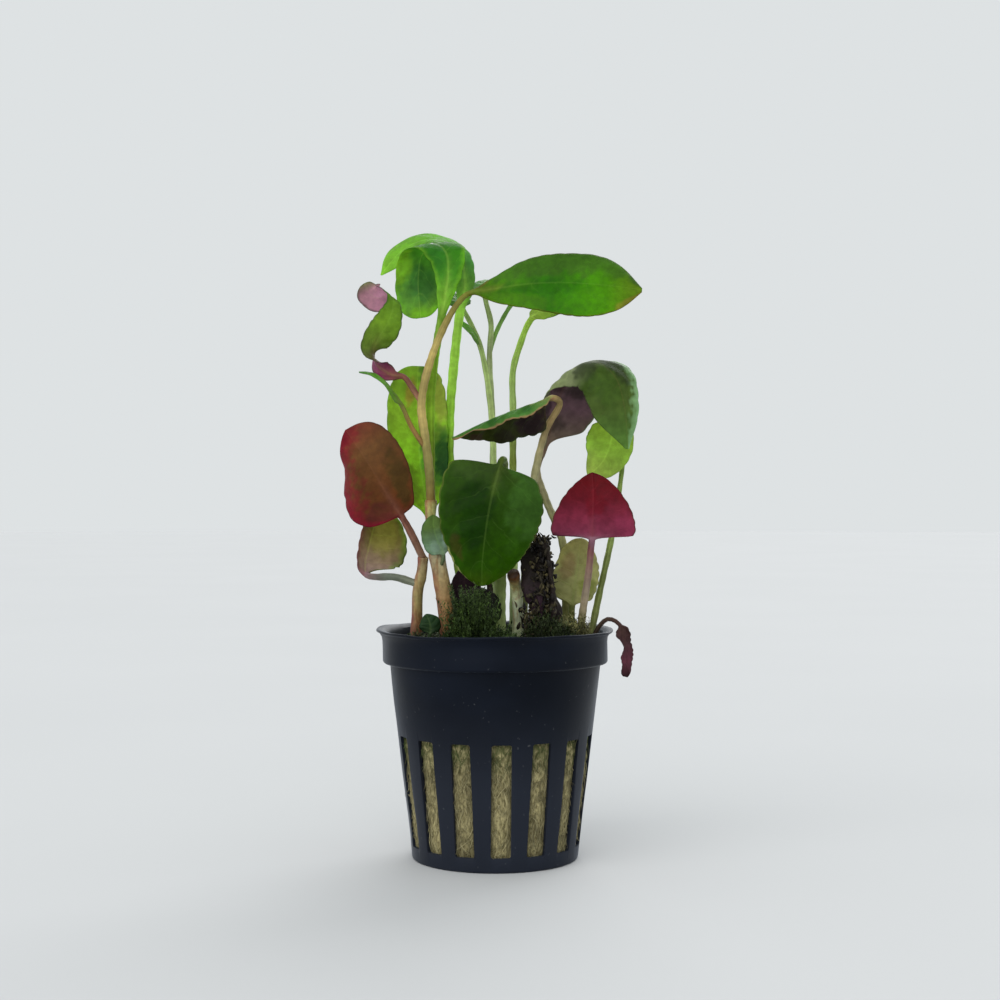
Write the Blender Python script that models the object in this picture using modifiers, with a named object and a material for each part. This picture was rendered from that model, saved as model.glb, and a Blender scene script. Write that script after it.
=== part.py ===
# Potted cardinal flower: a slotted net pot, its stone wool and a young plant.
import math

import bmesh
import bpy
import numpy as np
from mathutils import Vector

MM = 0.001

# Pot, in millimetres
LIP_TOP = 50.4
LIP_RADIUS = 26.2
LIP_THICK = 0.9
COLLAR_RADIUS = 24.9
COLLAR_FOOT = 43.2
WALL_TOP_RADIUS = 23.3
WALL_FOOT_RADIUS = 18.3
WALL_THICK = 0.85
FLOOR_THICK = 1.2
POT_FACETS = 60
SLOTS = 15
SLOT_WIDTH = 4.3
SLOT_TOP = 27.5
SLOT_FOOT = 3.2
SLOT_TURN = 4.0

# Stone wool, in millimetres
GAP = 0.3
WOOL_TOP = 47.0
WOOL_FACETS = 30

# Front drawing: steps across and down from the drawing's centre, seen from a point in front
DRAW_CENTRE = 500.0
DRAW_STEPS = 4.52
EYE_X = 1.1
EYE_Z = 78.8
EYE_AWAY = 380.0
FOOT = -1.0
ROOT_LEVEL = WOOL_TOP + 0.45

# Leaves, in millimetres
LEAF_THICK = 0.45

SHOWN = "potted_cardinal_flower"
CUTTERS = "potted_cardinal_flower_cutters"


def at(point):
    """Place of a point that is given as steps across, steps down and depth in millimetres."""
    across, down, depth = point
    if down == FOOT:
        down = DRAW_CENTRE + (EYE_Z - ROOT_LEVEL) * DRAW_STEPS * EYE_AWAY / (EYE_AWAY + depth)
    near = (EYE_AWAY + depth) / (DRAW_STEPS * EYE_AWAY)
    x = EYE_X + (across - DRAW_CENTRE) * near
    z = EYE_Z - (down - DRAW_CENTRE) * near
    return np.array((x, depth, z))


def curve_through(points, stations):
    """Smooth path through the points, with tangents from their neighbours."""
    points = np.array(points, float)
    steps = np.sqrt(np.linalg.norm(np.diff(points, axis=0), axis=1))
    knots = np.concatenate(([0.0], np.cumsum(steps)))
    slopes = np.gradient(points, knots, axis=0)
    out = []
    for value in np.interp(stations, np.linspace(0, 1, len(knots)), knots):
        i = min(max(int(np.searchsorted(knots, value)) - 1, 0), len(knots) - 2)
        h = knots[i + 1] - knots[i]
        u = (value - knots[i]) / h
        a = (1 + 2 * u) * (1 - u) ** 2
        b = u * (1 - u) ** 2
        c = u * u * (3 - 2 * u)
        d = u * u * (u - 1)
        place = a * points[i] + b * h * slopes[i] + c * points[i + 1] + d * h * slopes[i + 1]
        out.append(place)
    return np.array(out)


def evenly(points, low, high, count, ends=0.0):
    """Places along a path between two of its points, at even lengths, closer at the far end."""
    last = len(points) - 1
    fine = np.linspace(low / last, high / last, 400)
    places = curve_through(points, fine)
    lengths = np.concatenate(([0.0], np.cumsum(np.linalg.norm(np.diff(places, axis=0), axis=1))))
    share = np.linspace(0, 1, count)
    share = (1 - ends) * share + ends * (1 - np.cos(np.pi * share)) / 2
    wanted = share * lengths[-1]
    return np.array([[np.interp(w, lengths, places[:, k]) for k in range(3)] for w in wanted]), share


def along(values, t):
    """Value at t of numbers that are spread evenly from 0 to 1."""
    values = np.atleast_1d(np.array(values, float))
    if len(values) == 1:
        return float(values[0])
    x = t * (len(values) - 1)
    i = min(int(x), len(values) - 2)
    u = x - i
    u = u * u * (3 - 2 * u)
    return float(values[i] * (1 - u) + values[i + 1] * u)


def width_at(shape, t):
    """Half width of a blade at t: three numbers are a size and two powers, more are widths."""
    if len(shape) > 3:
        slopes = np.gradient(np.array(shape, float))
        x = t * (len(shape) - 1)
        i = min(int(x), len(shape) - 2)
        u = x - i
        return float((1 + 2 * u) * (1 - u) ** 2 * shape[i] + u * (1 - u) ** 2 * slopes[i]
                     + u * u * (3 - 2 * u) * shape[i + 1] + u * u * (u - 1) * slopes[i + 1])
    size, p, q = shape
    widest = p / (p + q)
    t = min(max(t, 0.0), 1.0)
    return size * (t / widest) ** p * ((1 - t) / (1 - widest)) ** q


def unit(v):
    return v / max(np.linalg.norm(v), 1e-9)


def put(name, bm, colour, roughness):
    """Object of the shown collection with a material of its own."""
    mesh = bpy.data.meshes.new(name)
    bmesh.ops.recalc_face_normals(bm, faces=bm.faces)
    bm.to_mesh(mesh)
    bm.free()
    made = bpy.data.objects.new(name, mesh)
    bpy.data.collections[SHOWN].objects.link(made)
    paint(made, colour, roughness)
    return made


def paint(made, colour, roughness):
    skin = bpy.data.materials.new(made.name + "_skin")
    skin.use_nodes = True
    shader = skin.node_tree.nodes["Principled BSDF"]
    shader.inputs["Base Color"].default_value = (*colour, 1.0)
    shader.inputs["Roughness"].default_value = roughness
    shader.inputs["Metallic"].default_value = 0.0
    made.data.materials.clear()
    made.data.materials.append(skin)


def rings_to_mesh(rings, sheet=False):
    """Closed mesh over rings of points, with a flat face at each end.

    The two sides of a sheet are split along the same diagonals, which keeps it equally thick."""
    bm = bmesh.new()
    rows = [[bm.verts.new(Vector(p) * MM) for p in ring] for ring in rings]
    count = len(rows[0])
    for low, high in zip(rows, rows[1:]):
        for k in range(count):
            n = (k + 1) % count
            if not sheet:
                bm.faces.new((low[k], low[n], high[n], high[k]))
                continue
            over_k = count - 1 - k
            over_n = count - 1 - n
            rising = (low[k].co - high[n].co).length + (low[over_k].co - high[over_n].co).length
            falling = (low[n].co - high[k].co).length + (low[over_n].co - high[over_k].co).length
            if rising <= falling:
                bm.faces.new((low[k], low[n], high[n]))
                bm.faces.new((low[k], high[n], high[k]))
            else:
                bm.faces.new((low[k], low[n], high[k]))
                bm.faces.new((low[n], high[n], high[k]))
    bm.faces.new(rows[0])
    bm.faces.new(rows[-1])
    return bm


def stem(name, points, radii, colour, sides=8, stations=9):
    """Round stem through drawing points, with radii spread along it."""
    path = [at(p) for p in points]
    places, share = evenly(path, 0, len(path) - 1, stations)
    tangents = np.gradient(places, axis=0)
    side = unit(np.cross(tangents[0], (0.0, 1.0, 0.0)))
    rings = []
    for place, tangent, t in zip(places, tangents, share):
        tangent = unit(tangent)
        side = unit(side - tangent * np.dot(side, tangent))
        other = np.cross(tangent, side)
        r = along(radii, t)
        ring = []
        for k in range(sides):
            a = 2 * math.pi * k / sides
            ring.append(place + r * (math.cos(a) * side + math.sin(a) * other))
        rings.append(ring)
    return put(name, rings_to_mesh(rings), colour, 0.6)


def leaf(name, points, start, near, far, faces, colour, fold=(0, 0), curl=(0, 0),
         lobe=0.0, wave=(0.0, 2.0, 0.0), radii=(0.8, 0.6), ridge=0.35, across=4, stalk=6, blade=10,
         edge=False):
    """Leaf in one piece: a round petiole up to point number start, then the blade.

    near and far are the half widths on the two sides, faces the ways its upper side looks,
    fold and curl how far each side is raised at the midrib and on towards the margin, lobe
    how far a side reaches back past the petiole.
    A leaf that winds about has edge set, and faces are then the ways its margin points."""
    path = [at(p) for p in points]
    last = len(path) - 1
    lobes = lobe if isinstance(lobe, tuple) else (lobe, lobe)
    body, t_body = evenly(path, start, last, blade, 0.6)
    if start > 0:
        petiole, t_petiole = evenly(path, 0, start, stalk)
        places = np.concatenate((petiole[:-1], body))
        ts = np.concatenate((t_petiole[:-1] - 1.0, t_body))
    else:
        places = body
        ts = t_body
    tangents = np.array([unit(v) for v in np.gradient(places, axis=0)])
    first = int(np.argmax(ts >= 0))
    normals = [None] * len(places)
    faces = np.array(faces, float)
    for i in range(first, len(places)):
        look = np.array([along(faces[:, k], ts[i]) for k in range(3)])
        if edge:
            look = np.cross(look, tangents[i])
        normals[i] = unit(look - tangents[i] * np.dot(look, tangents[i]))
    for i in range(first - 1, -1, -1):
        carried = normals[i + 1]
        normals[i] = unit(carried - tangents[i] * np.dot(carried, tangents[i]))
    turn = math.pi / (2 * across + 2)
    rings = []
    for i, t in enumerate(ts):
        side = np.cross(tangents[i], normals[i])
        flat = 0.0 if t <= 0 else min(t / 0.12, 1.0)
        flat = flat * flat * (3 - 2 * flat)
        r = along(radii, t + 1) if t < 0 else radii[-1]
        upper = []
        lower = []
        for j in range(across + 1):
            a = math.pi - turn - (math.pi - 2 * turn) * j / across
            s = -1 + 2 * j / across
            which = 0 if s < 0 else 1
            half = max(width_at((near, far)[which], max(t, 0.0)), 0.3)
            reach = (1 - flat) * abs(math.cos(a)) * r + flat * abs(s) * half
            f = flat * along(np.atleast_1d(fold[which]), max(t, 0.0))
            c = flat * along(np.atleast_1d(curl[which]), max(t, 0.0)) * abs(s)
            if abs(c) < 1e-4:
                out, up = math.cos(f), math.sin(f)
            else:
                out = (math.sin(f + c) - math.sin(f)) / c
                up = (math.cos(f) - math.cos(f + c)) / c
            sign = math.copysign(1.0, s) if s else 0.0
            lift = flat * wave[0] * s * s * math.sin(2 * math.pi * wave[1] * t + wave[2] + 1.3 * sign)
            slope = f + c
            normal = -math.sin(slope) * sign * side + math.cos(slope) * normals[i]
            middle = places[i] + reach * (out * sign * side + up * normals[i]) + lift * normal
            middle = middle - flat * lobes[which] * (1 - t) ** 3 * abs(s) ** 1.5 * tangents[i]
            high = (1 - flat) * math.sin(a) * r + flat * LEAF_THICK / 2
            rib = ridge * (1 - 0.8 * max(t, 0.0)) if s == 0 else 0.0
            low = (1 - flat) * math.sin(a) * r + flat * (LEAF_THICK / 2 + rib)
            upper.append(middle + high * normal)
            lower.append(middle - low * normal)
        rings.append(upper + lower[::-1])
    return put(name, rings_to_mesh(rings, True), colour, 0.5)


def join_on(made, other):
    """Fuses the other object to the made one and keeps it among the cutters."""
    bpy.data.collections[SHOWN].objects.unlink(other)
    bpy.data.collections[CUTTERS].objects.link(other)
    other.hide_render = True
    other.display_type = "WIRE"
    joint = made.modifiers.new(other.name, "BOOLEAN")
    joint.operation = "UNION"
    joint.solver = "EXACT"
    joint.object = other


def turned(name, profile, facets):
    """Profile of radius and height in millimetres, turned about the upright axis."""
    bm = bmesh.new()
    verts = [bm.verts.new((r * MM, 0, z * MM)) for r, z in profile]
    for low, high in zip(verts, verts[1:]):
        bm.edges.new((low, high))
    mesh = bpy.data.meshes.new(name)
    bm.to_mesh(mesh)
    bm.free()
    made = bpy.data.objects.new(name, mesh)
    bpy.data.collections[SHOWN].objects.link(made)
    screw = made.modifiers.new("turn", "SCREW")
    screw.axis = "Z"
    screw.steps = facets
    screw.render_steps = facets
    screw.use_merge_vertices = True
    screw.merge_threshold = 0.00001
    screw.use_smooth_shade = False
    return made


# Clear the scene
for old in list(bpy.data.objects):
    bpy.data.objects.remove(old, do_unlink=True)
for group in (SHOWN, CUTTERS):
    bpy.context.scene.collection.children.link(bpy.data.collections.new(group))
cutters = bpy.data.collections[CUTTERS]
cutters.hide_render = True

# Pot
wall_slope = (WALL_TOP_RADIUS - WALL_FOOT_RADIUS) / (COLLAR_FOOT - 1.0)
collar_inside = COLLAR_RADIUS - 1.0
pot = turned("pot", [
    (collar_inside - 0.1, LIP_TOP - 0.3),
    (LIP_RADIUS - 0.3, LIP_TOP),
    (LIP_RADIUS, LIP_TOP - 0.4),
    (COLLAR_RADIUS, LIP_TOP - LIP_THICK - 0.7),
    (COLLAR_RADIUS, COLLAR_FOOT + 0.7),
    (COLLAR_RADIUS - 0.5, COLLAR_FOOT),
    (WALL_TOP_RADIUS, COLLAR_FOOT - 0.2),
    (WALL_FOOT_RADIUS, 0.8),
    (WALL_FOOT_RADIUS - 0.5, 0.0),
    (0.0, 0.0),
    (0.0, FLOOR_THICK),
    (WALL_FOOT_RADIUS - WALL_THICK, FLOOR_THICK),
    (WALL_TOP_RADIUS - WALL_THICK, COLLAR_FOOT - 0.6),
    (collar_inside - 0.1, COLLAR_FOOT + 0.8),
    (collar_inside - 0.1, LIP_TOP - 0.3),
], POT_FACETS)
paint(pot, (0.012, 0.014, 0.022), 0.35)
for k in range(SLOTS):
    turn = math.radians(SLOT_TURN + 360.0 / SLOTS * k)
    bpy.ops.mesh.primitive_cube_add(size=1.0)
    cutter = bpy.context.active_object
    cutter.name = "slot_cutter_%02d" % (k + 1)
    height = (SLOT_TOP - SLOT_FOOT) * MM
    for vertex in cutter.data.vertices:
        x = vertex.co.x * SLOT_WIDTH * MM
        y = (vertex.co.y * 8.0 - 20.0) * MM
        z = vertex.co.z * height + (SLOT_TOP + SLOT_FOOT) / 2 * MM
        vertex.co.x = x * math.cos(turn) - y * math.sin(turn)
        vertex.co.y = x * math.sin(turn) + y * math.cos(turn)
        vertex.co.z = z
    for group in list(cutter.users_collection):
        group.objects.unlink(cutter)
    cutters.objects.link(cutter)
    cutter.hide_render = True
    cutter.display_type = "WIRE"
    cut = pot.modifiers.new("slot_%02d" % (k + 1), "BOOLEAN")
    cut.operation = "DIFFERENCE"
    cut.solver = "EXACT"
    cut.object = cutter

# Stone wool plug
inside = WALL_THICK + GAP
wool = turned("growing_medium", [
    (0.0, WOOL_TOP),
    (collar_inside - 0.1 - GAP - 1.2, WOOL_TOP - 0.4),
    (collar_inside - 0.1 - GAP, WOOL_TOP - 1.4),
    (collar_inside - 0.1 - GAP, COLLAR_FOOT + 0.9),
    (WALL_TOP_RADIUS - inside, COLLAR_FOOT - 0.6),
    (WALL_FOOT_RADIUS - inside, FLOOR_THICK + GAP),
    (0.0, FLOOR_THICK + GAP),
], WOOL_FACETS)
paint(wool, (0.23, 0.17, 0.06), 0.95)

# Stems
TAN = (0.40, 0.25, 0.12)
OLIVE = (0.28, 0.27, 0.10)
PALE = (0.45, 0.52, 0.28)
DARK = (0.03, 0.02, 0.02)
stem("stem_front", [(449, FOOT, -9), (446, 612, -9.5), (443, 588, -10), (437, 556, -10.5),
                    (431, 525, -10.5), (431, 500, -10.5)],
     (1.8, 1.75, 1.75, 1.7, 1.05, 1.2), TAN, 10, 9)
stem("stem_left", [(415, FOOT, -6), (417, 618, -6.5), (418, 590, -7), (422, 570, -7.5),
                   (423, 557, -8)],
     (1.3, 1.15, 1.15, 1.1), OLIVE, 8, 6)
stem("stem_cut_stub", [(517, FOOT, -3), (518, 612, -4), (516, 588, -6), (513, 573, -9.5)],
     (1.2, 1.2, 1.3), (0.35, 0.16, 0.06), 8, 6)
stem("stem_withered_left", [(541, FOOT, -5), (543, 610, -6), (538, 580, -7), (542, 556, -7),
                            (545, 540, -6.5)],
     (1.5, 1.3, 1.1, 0.7), DARK, 8, 7)
stem("stem_withered_right", [(553, FOOT, 0), (557, 615, -1.5), (552, 595, -2.5), (549, 578, -2)],
     (1.3, 1.1, 0.7), DARK, 8, 5)

# Leaves at the front
GREEN = (0.06, 0.20, 0.03)
BRIGHT = (0.20, 0.42, 0.05)
MAROON = (0.16, 0.02, 0.03)
CRIMSON = (0.30, 0.01, 0.05)
leaf("leaf_top_right",
     [(431.5, 494, -10.5), (429, 468, -10), (425.5, 440, -9.2), (421.5, 402, -8.5),
      (432, 356, -8), (448, 319, -8), (459, 302, -8.3), (468, 294, -8.8), (495, 289, -9.8),
      (530, 284, -11), (570, 283, -12), (610, 286, -12.5), (642, 290, -12)],
     7, (0.7, 2.3, 4.1, 6.0, 7.2, 7.7, 7.9, 8.0, 7.3, 5.1, 0.6),
     (0.7, 2.2, 4.1, 5.5, 6.6, 7.5, 8.1, 8.1, 7.1, 4.8, 0.6), [(0, -0.9, 0.45)], GREEN,
     (0.10, 0.10), (-0.3, -0.3), radii=(0.95, 0.95, 0.9, 0.8, 0.6), across=6, stalk=10, blade=11)
leaf("leaf_centre",
     [(500, FOOT, -2), (500, 600, -2), (501, 545, -2.5), (503, 492, -4), (504, 468, -7),
      (503, 460, -11), (500, 465, -14.2), (496, 480, -16.2), (491, 500, -17), (487, 522, -17),
      (484, 545, -16.6), (482, 566, -15.6), (482, 586, -14.5)],
     6, (3.0, 8.0, 10.2, 11.3, 11.4, 11.1, 10.3, 9.2, 7.8, 5.8, 0.8),
     (4.6, 9.6, 11.2, 11.4, 11.3, 10.7, 9.7, 8.3, 6.6, 4.4, 0.8), [(0, -1, 0.15)], GREEN,
     (-0.06, -0.06), (-0.25, -0.25), lobe=(2.9, 3.4), radii=(1.3, 1.3, 1.1, 0.8), across=6, stalk=9,
     blade=11)
leaf("leaf_edge_on",
     [(524, FOOT, 1), (524, 600, 1), (527, 550, 1.5), (534, 480, 2), (546, 430, 0.5), (560, 403, -2),
      (553, 398, -4), (538, 402, -5), (515, 410, -6.5), (485, 422, -8), (452, 438, -8.5)],
     6, (3.6, 0.4, 0.6), (2.5, 6.8, 7.8, 7.6, 7.2, 7.0, 6.6, 5.8, 4.4, 2.6, 0.4), [(0, -0.1, 1)], GREEN,
     (-0.3, (-0.95, -0.95, -0.5)), (-0.25, (-0.45, -0.45, -0.1)), wave=(0.5, 3.0, 0.0),
     radii=(0.95, 0.9, 0.7), across=6, stalk=8, blade=10)
leaf("leaf_arched",
     [(566, FOOT, 5), (566, 600, 6), (562, 540, 8), (546, 500, 10), (537, 470, 9.8),
      (544, 448, 8.8), (554, 416, 7.2), (563, 386, 5), (577, 367, 1.4), (596, 362, -2.6),
      (615, 377, -5.4), (624, 405, -6.8), (628, 449, -6.5)],
     5, (2.5, 8.4, 10.0, 9.2, 7.4, 5.4, 3.8, 0.4), (1.5, 4.4, 6.4, 7.6, 8.0, 8.0, 6.6, 0.5),
     [(-0.4, 0.9, 0.4), (-0.3, 0.6, 0.7), (0, -0.3, 1), (0.4, -1, 0.3), (0.4, -1, 0)],
     (0.10, 0.14, 0.04), (-0.1, -0.1), (-0.35, (-0.3, -0.6, -1.1, -1.1, -0.5, -0.3)),
     radii=(0.95, 0.9, 0.8), across=6, stalk=7, blade=14)
leaf("leaf_bright_right",
     [(590, FOOT, 5), (598, 600, 7), (613, 530, 9.5), (623, 460, 11.8), (625, 420, 11.8),
      (619, 406, 9.6), (613, 418, 7.8), (611, 441, 7), (603, 461, 6.4), (588, 476, 5.8)],
     6, (5.6, 0.4, 0.7), (5.6, 0.4, 0.7), [(0.2, -1, 0.1)], BRIGHT,
     (0.0, 0.0), (-0.3, -0.3), radii=(0.8, 0.7, 0.55, 0.5), across=4, stalk=12, blade=8)
leaf("leaf_crimson",
     [(579, FOOT, -5), (583, 610, -7), (589, 570, -9), (591, 548, -10.5), (592, 540, -11.3),
      (592.5, 522, -12.5), (593, 505, -13), (593, 488, -12.6), (592, 472.5, -11.5)],
     4, (9.4, 0.2, 0.75), (9.2, 0.2, 0.75), [(0, 1, 0.1)], CRIMSON,
     (-0.05, -0.05), (-0.35, -0.35), radii=(0.9, 0.8, 0.7), across=6, stalk=5, blade=10)
leaf("leaf_maroon",
     [(422, 552, -8.3), (411, 533, -9), (402, 517, -9.6), (388, 495, -10.8), (374, 472, -11),
      (360, 450, -9.8), (346, 430, -7.5)],
     2, (7.9, 0.7, 0.5), (2.5, 10.5, 12.0, 12.0, 10.5, 7.0, 0.3), [(0.15, 1, 0.1)], MAROON,
     (0.05, 0.1), (-0.1, (0.2, 0.5, 0.9, 1.1, 0.3)), lobe=2.2, radii=(0.85, 0.8, 0.75), across=6,
     stalk=4, blade=10)
leaf("leaf_lower_left",
     [(412, 582, -6.4), (394, 577, -6.2), (377, 577, -5.6), (367, 575, -4.4), (365, 564, -2.4),
      (369, 546, -0.2), (374, 526, 1.6), (380, 506, 3)],
     3, (3.6, 0.3, 0.5), (8.4, 0.4, 0.45), [(0.1, -1, 0.2)], (0.20, 0.22, 0.06),
     ((0.4, 0.4, 0.1), 0.0), ((1.0, 1.0, 0.2), -0.2), radii=(0.85, 0.8, 0.7), across=4, stalk=4,
     blade=9)
leaf("leaf_behind_stem",
     [(436, 528, -7.9), (429, 519, -5.5), (426, 500, -3.5), (421, 470, -0.5), (418, 430, 2),
      (417, 400, 2.5), (418, 366, 2)],
     1, (0.7, 2.9, 4.9, 5.9, 6.3, 6.6, 6.8, 6.8, 6.5, 5.5, 1.2),
     (0.7, 2.9, 4.9, 5.9, 6.3, 6.6, 6.8, 6.8, 6.5, 5.5, 1.2), [(0.1, -1, 0.2)], BRIGHT,
     (0.05, 0.05), (0.2, 0.2), radii=(0.7, 0.7), across=4, stalk=3, blade=10)
leaf("leaf_small_teal",
     [(447, 563, -12.9), (444, 555, -13.3), (438, 542, -13.6), (434, 529, -13.6), (433, 515, -13.2)],
     1, (3.2, 0.4, 0.6), (3.2, 0.4, 0.6), [(0, -1, 0.1)], (0.10, 0.18, 0.14),
     (0.0, 0.0), (0.2, 0.2), radii=(0.4, 0.4), across=3, stalk=2, blade=7)

# Leaves at the upper left
leaf("leaf_curled",
     [(416, 397, -7.4), (411, 386, -7), (404, 377, -6.6), (393, 375, -6.4), (380, 367, -7),
      (373, 353, -8.2), (377, 340, -9.6), (386, 326, -10.2), (392, 311, -9.8), (393, 299, -8),
      (387, 295, -5.8), (378, 298, -5.2), (369, 293, -5.8), (365, 283, -6.6)],
     2, (0.9, 1.7, 2.1, 2.6, 3.2, 3.5, 3.2, 2.5, 1.6, 1.8, 3.0, 2.8, 0.6),
     (0.9, 1.7, 2.1, 2.6, 3.2, 3.5, 3.2, 2.5, 1.6, 1.8, 3.0, 2.8, 0.6),
     [(0.1, 0, -1), (0.1, 0.3, -1), (0.2, 0.8, -0.5), (0.8, 0.5, -0.3), (1, 0.2, -0.1),
      (1, 0.3, 0), (0.5, 0.8, -0.5), (-0.3, 0.2, -1), (-0.3, 0, -1)],
     (0.14, 0.25, 0.05), (0.0, 0.0), (0.0, 0.0), radii=(0.65, 0.6), ridge=0.2, across=4, stalk=3,
     blade=18, edge=True)
leaf("leaf_small_edge",
     [(418, 445, -9.8), (411, 426, -10.3), (402, 406, -10.8), (393, 392, -11), (383, 380, -11.2),
      (371, 373, -11), (359, 372, -10.6)],
     2, (2.0, 0.4, 0.6), (1.6, 0.4, 0.6), [(0.3, -0.4, 0.9)], GREEN,
     (0.0, -0.3), (0.0, -0.2), radii=(0.5, 0.5), across=3, stalk=4, blade=7)
leaf("leaf_upper_left",
     [(435, 497, -8), (431, 455, -6.5), (431, 400, -5.2), (436, 350, -4.6), (441, 320, -4.4),
      (445, 296, -4.4), (448, 274, -4), (447, 256, -3.4), (440, 246, -0.6), (430, 245, 2.6),
      (421, 256, 5.2), (418, 278, 6.4), (419, 300, 6.2), (421, 318, 5)],
     4, (0.9, 1.4, 2.0, 2.8, 3.6, 4.4, 4.8, 5.0, 5.1, 5.2, 5.2, 5.1, 4.4, 1.0),
     (0.9, 1.4, 2.0, 2.8, 3.6, 4.4, 4.8, 5.0, 5.1, 5.2, 5.2, 5.1, 4.4, 1.0),
     [(0.1, -1, 0), (0, -1, 0.3), (-0.1, -0.2, 1), (-0.2, 0.7, 0.7), (0, 1, 0.1)], BRIGHT,
     (0.05, 0.05), (-0.2, -0.2), radii=(0.85, 0.85, 0.9), across=4, stalk=6, blade=13)
leaf("leaf_upper_far",
     [(470, FOOT, 6), (462, 590, 5.5), (454, 520, 4.5), (449, 440, 4), (454, 363, 3.6),
      (460, 312, 3.6), (465, 287, 4.5), (463, 266, 6), (455, 249, 9), (440, 240, 12),
      (421, 241, 13.5), (402, 251, 13.5), (381, 275, 12)],
     5, (1.0, 2.0, 2.6, 3.0, 3.8, 4.2, 3.4, 0.3), (1.0, 2.0, 2.6, 3.0, 3.8, 4.2, 3.4, 0.3),
     [(0.1, -1, 0), (0.1, -0.7, 0.7), (0, -0.2, 1), (-0.3, -0.6, 0.8), (-0.3, -0.9, 0.4)], BRIGHT,
     (0.05, 0.05), (-0.2, -0.2), radii=(1.1, 1.05, 1.0), across=4, stalk=8, blade=12)

# Leaves at the back
back_left = leaf(
    "leaf_back_left",
    [(497, FOOT, 10), (496, 560, 10), (494, 480, 10), (491, 409, 10.3), (479.5, 344, 11),
     (463, 309, 12), (457, 299, 15), (452, 294, 19), (449, 296, 23)],
    5, (3.4, 0.5, 0.6), (3.4, 0.5, 0.6), [(0, -0.2, 1)], GREEN,
    (0.1, 0.1), (-0.3, -0.3), radii=(0.9, 0.8, 0.7, 0.55), across=3, stalk=8, blade=8)
shoot = leaf(
    "side_shoot",
    [(478.2, 340.5, 10.9), (474, 334, 9.6), (468, 328, 8.8), (460, 321, 8.8)],
    0, (1.5, 0.5, 0.6), (1.2, 0.5, 0.6), [(0.3, -0.8, 0.5)], GREEN,
    (0.2, -0.3), (0, 0), radii=(0.4, 0.4), ridge=0.15, across=3, stalk=2, blade=6)
join_on(back_left, shoot)
back_centre = leaf(
    "leaf_back_centre",
    [(489, FOOT, 14), (491, 560, 14), (493, 480, 13.5), (492.5, 424, 13), (489.5, 356, 13),
     (491, 324, 13), (485.5, 299, 13.5), (487, 288, 16), (491, 282, 20), (496, 280, 24)],
    6, (4.0, 0.5, 0.6), (4.0, 0.5, 0.6), [(0, -0.2, 1)], GREEN,
    (0.1, 0.1), (-0.3, -0.3), radii=(0.9, 0.8, 0.7, 0.6), across=3, stalk=8, blade=8)
small_branch = leaf(
    "small_branch",
    [(490.5, 350, 13.0), (493, 341, 13.6), (499, 326, 14.4), (509, 308, 15),
     (515, 300, 15.6), (523, 292, 17), (532, 286, 19), (540, 283, 22)],
    4, (3.4, 0.5, 0.6), (3.4, 0.5, 0.6), [(0, -0.2, 1)], GREEN,
    (0.1, 0.1), (-0.3, -0.3), radii=(0.5, 0.5), across=3, stalk=5, blade=7)
join_on(back_centre, small_branch)
leaf("leaf_back_right",
     [(513, FOOT, 8), (514, 560, 8.5), (513, 480, 9), (513, 409, 9), (513, 371, 9), (520, 345, 9),
      (530, 321, 9.2), (543, 309, 10), (560, 301, 11.5), (578, 295, 13.5), (596, 291, 16)],
     6, (4.6, 0.5, 0.6), (4.6, 0.5, 0.6), [(0, -0.45, 0.9)], (0.25, 0.36, 0.06),
     (0.0, 0.0), (-0.3, -0.3), radii=(0.9, 0.8, 0.7), across=3, stalk=9, blade=8)

# Small low leaves and withered ones
leaf("leaf_dark_low",
     [(489, FOOT, -3), (491, 606, -4), (489, 584, -5.2), (482, 571, -6.0), (473, 565, -6.6),
      (467, 570, -7.0), (465, 594, -7.2), (466, 624, -7.0)],
     4, (4.4, 0.9, 0.4), (4.4, 0.9, 0.4), [(0.1, 1, 0.3)], (0.05, 0.01, 0.03),
     (0.0, 0.0), (0.1, 0.1), radii=(0.7, 0.6), across=3, stalk=4, blade=7)
leaf("leaf_olive_low",
     [(571, FOOT, 0.5), (572, 606, 0.8), (574, 590, 1), (577, 570, 1.4), (579, 552, 1.6),
      (581, 538, 1.2)],
     1, (5.2, 0.35, 0.5), (5.2, 0.35, 0.5), [(0.1, -1, 0.1)], (0.28, 0.27, 0.10),
     (0.0, 0.0), (-0.3, -0.3), radii=(0.8, 0.7), across=4, stalk=3, blade=9)
leaf("leaf_low_centre",
     [(493, FOOT, -9), (490, 630, -10.5), (483, 613, -11.8), (473, 601, -12), (460, 595, -11)],
     1, (4.8, 0.4, 0.6), (4.8, 0.4, 0.6), [(0.1, -1, 0.5)], (0.02, 0.07, 0.02),
     (0.0, 0.0), (-0.3, -0.3), radii=(0.6, 0.5), across=3, stalk=2, blade=7)
leaf("leaf_low_left",
     [(428, FOOT, -12.5), (430, 634, -13), (430, 624, -13), (426, 614, -12.6)],
     1, (2.4, 0.4, 0.6), (2.4, 0.4, 0.6), [(0.1, -1, 0.5)], (0.02, 0.07, 0.02),
     (0.0, 0.0), (-0.3, -0.3), radii=(0.5, 0.4), across=3, stalk=2, blade=5)
leaf("leaf_withered",
     [(549, FOOT, -9), (553, 612, -10), (551, 578, -10.5), (547, 552, -10.6), (543, 544, -10.2),
      (537, 556, -9.8), (534, 580, -10), (537, 604, -10.4), (540, 620, -10.4)],
     3, (1.8, 0.4, 0.5), (3.0, 0.4, 0.5), [(0.1, -1, 0.2)], DARK,
     (0.3, -0.1), (0.4, -0.3), wave=(0.4, 3.0, 0.5), radii=(0.6, 0.5), ridge=0.2, across=3,
     stalk=4, blade=8)
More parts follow.
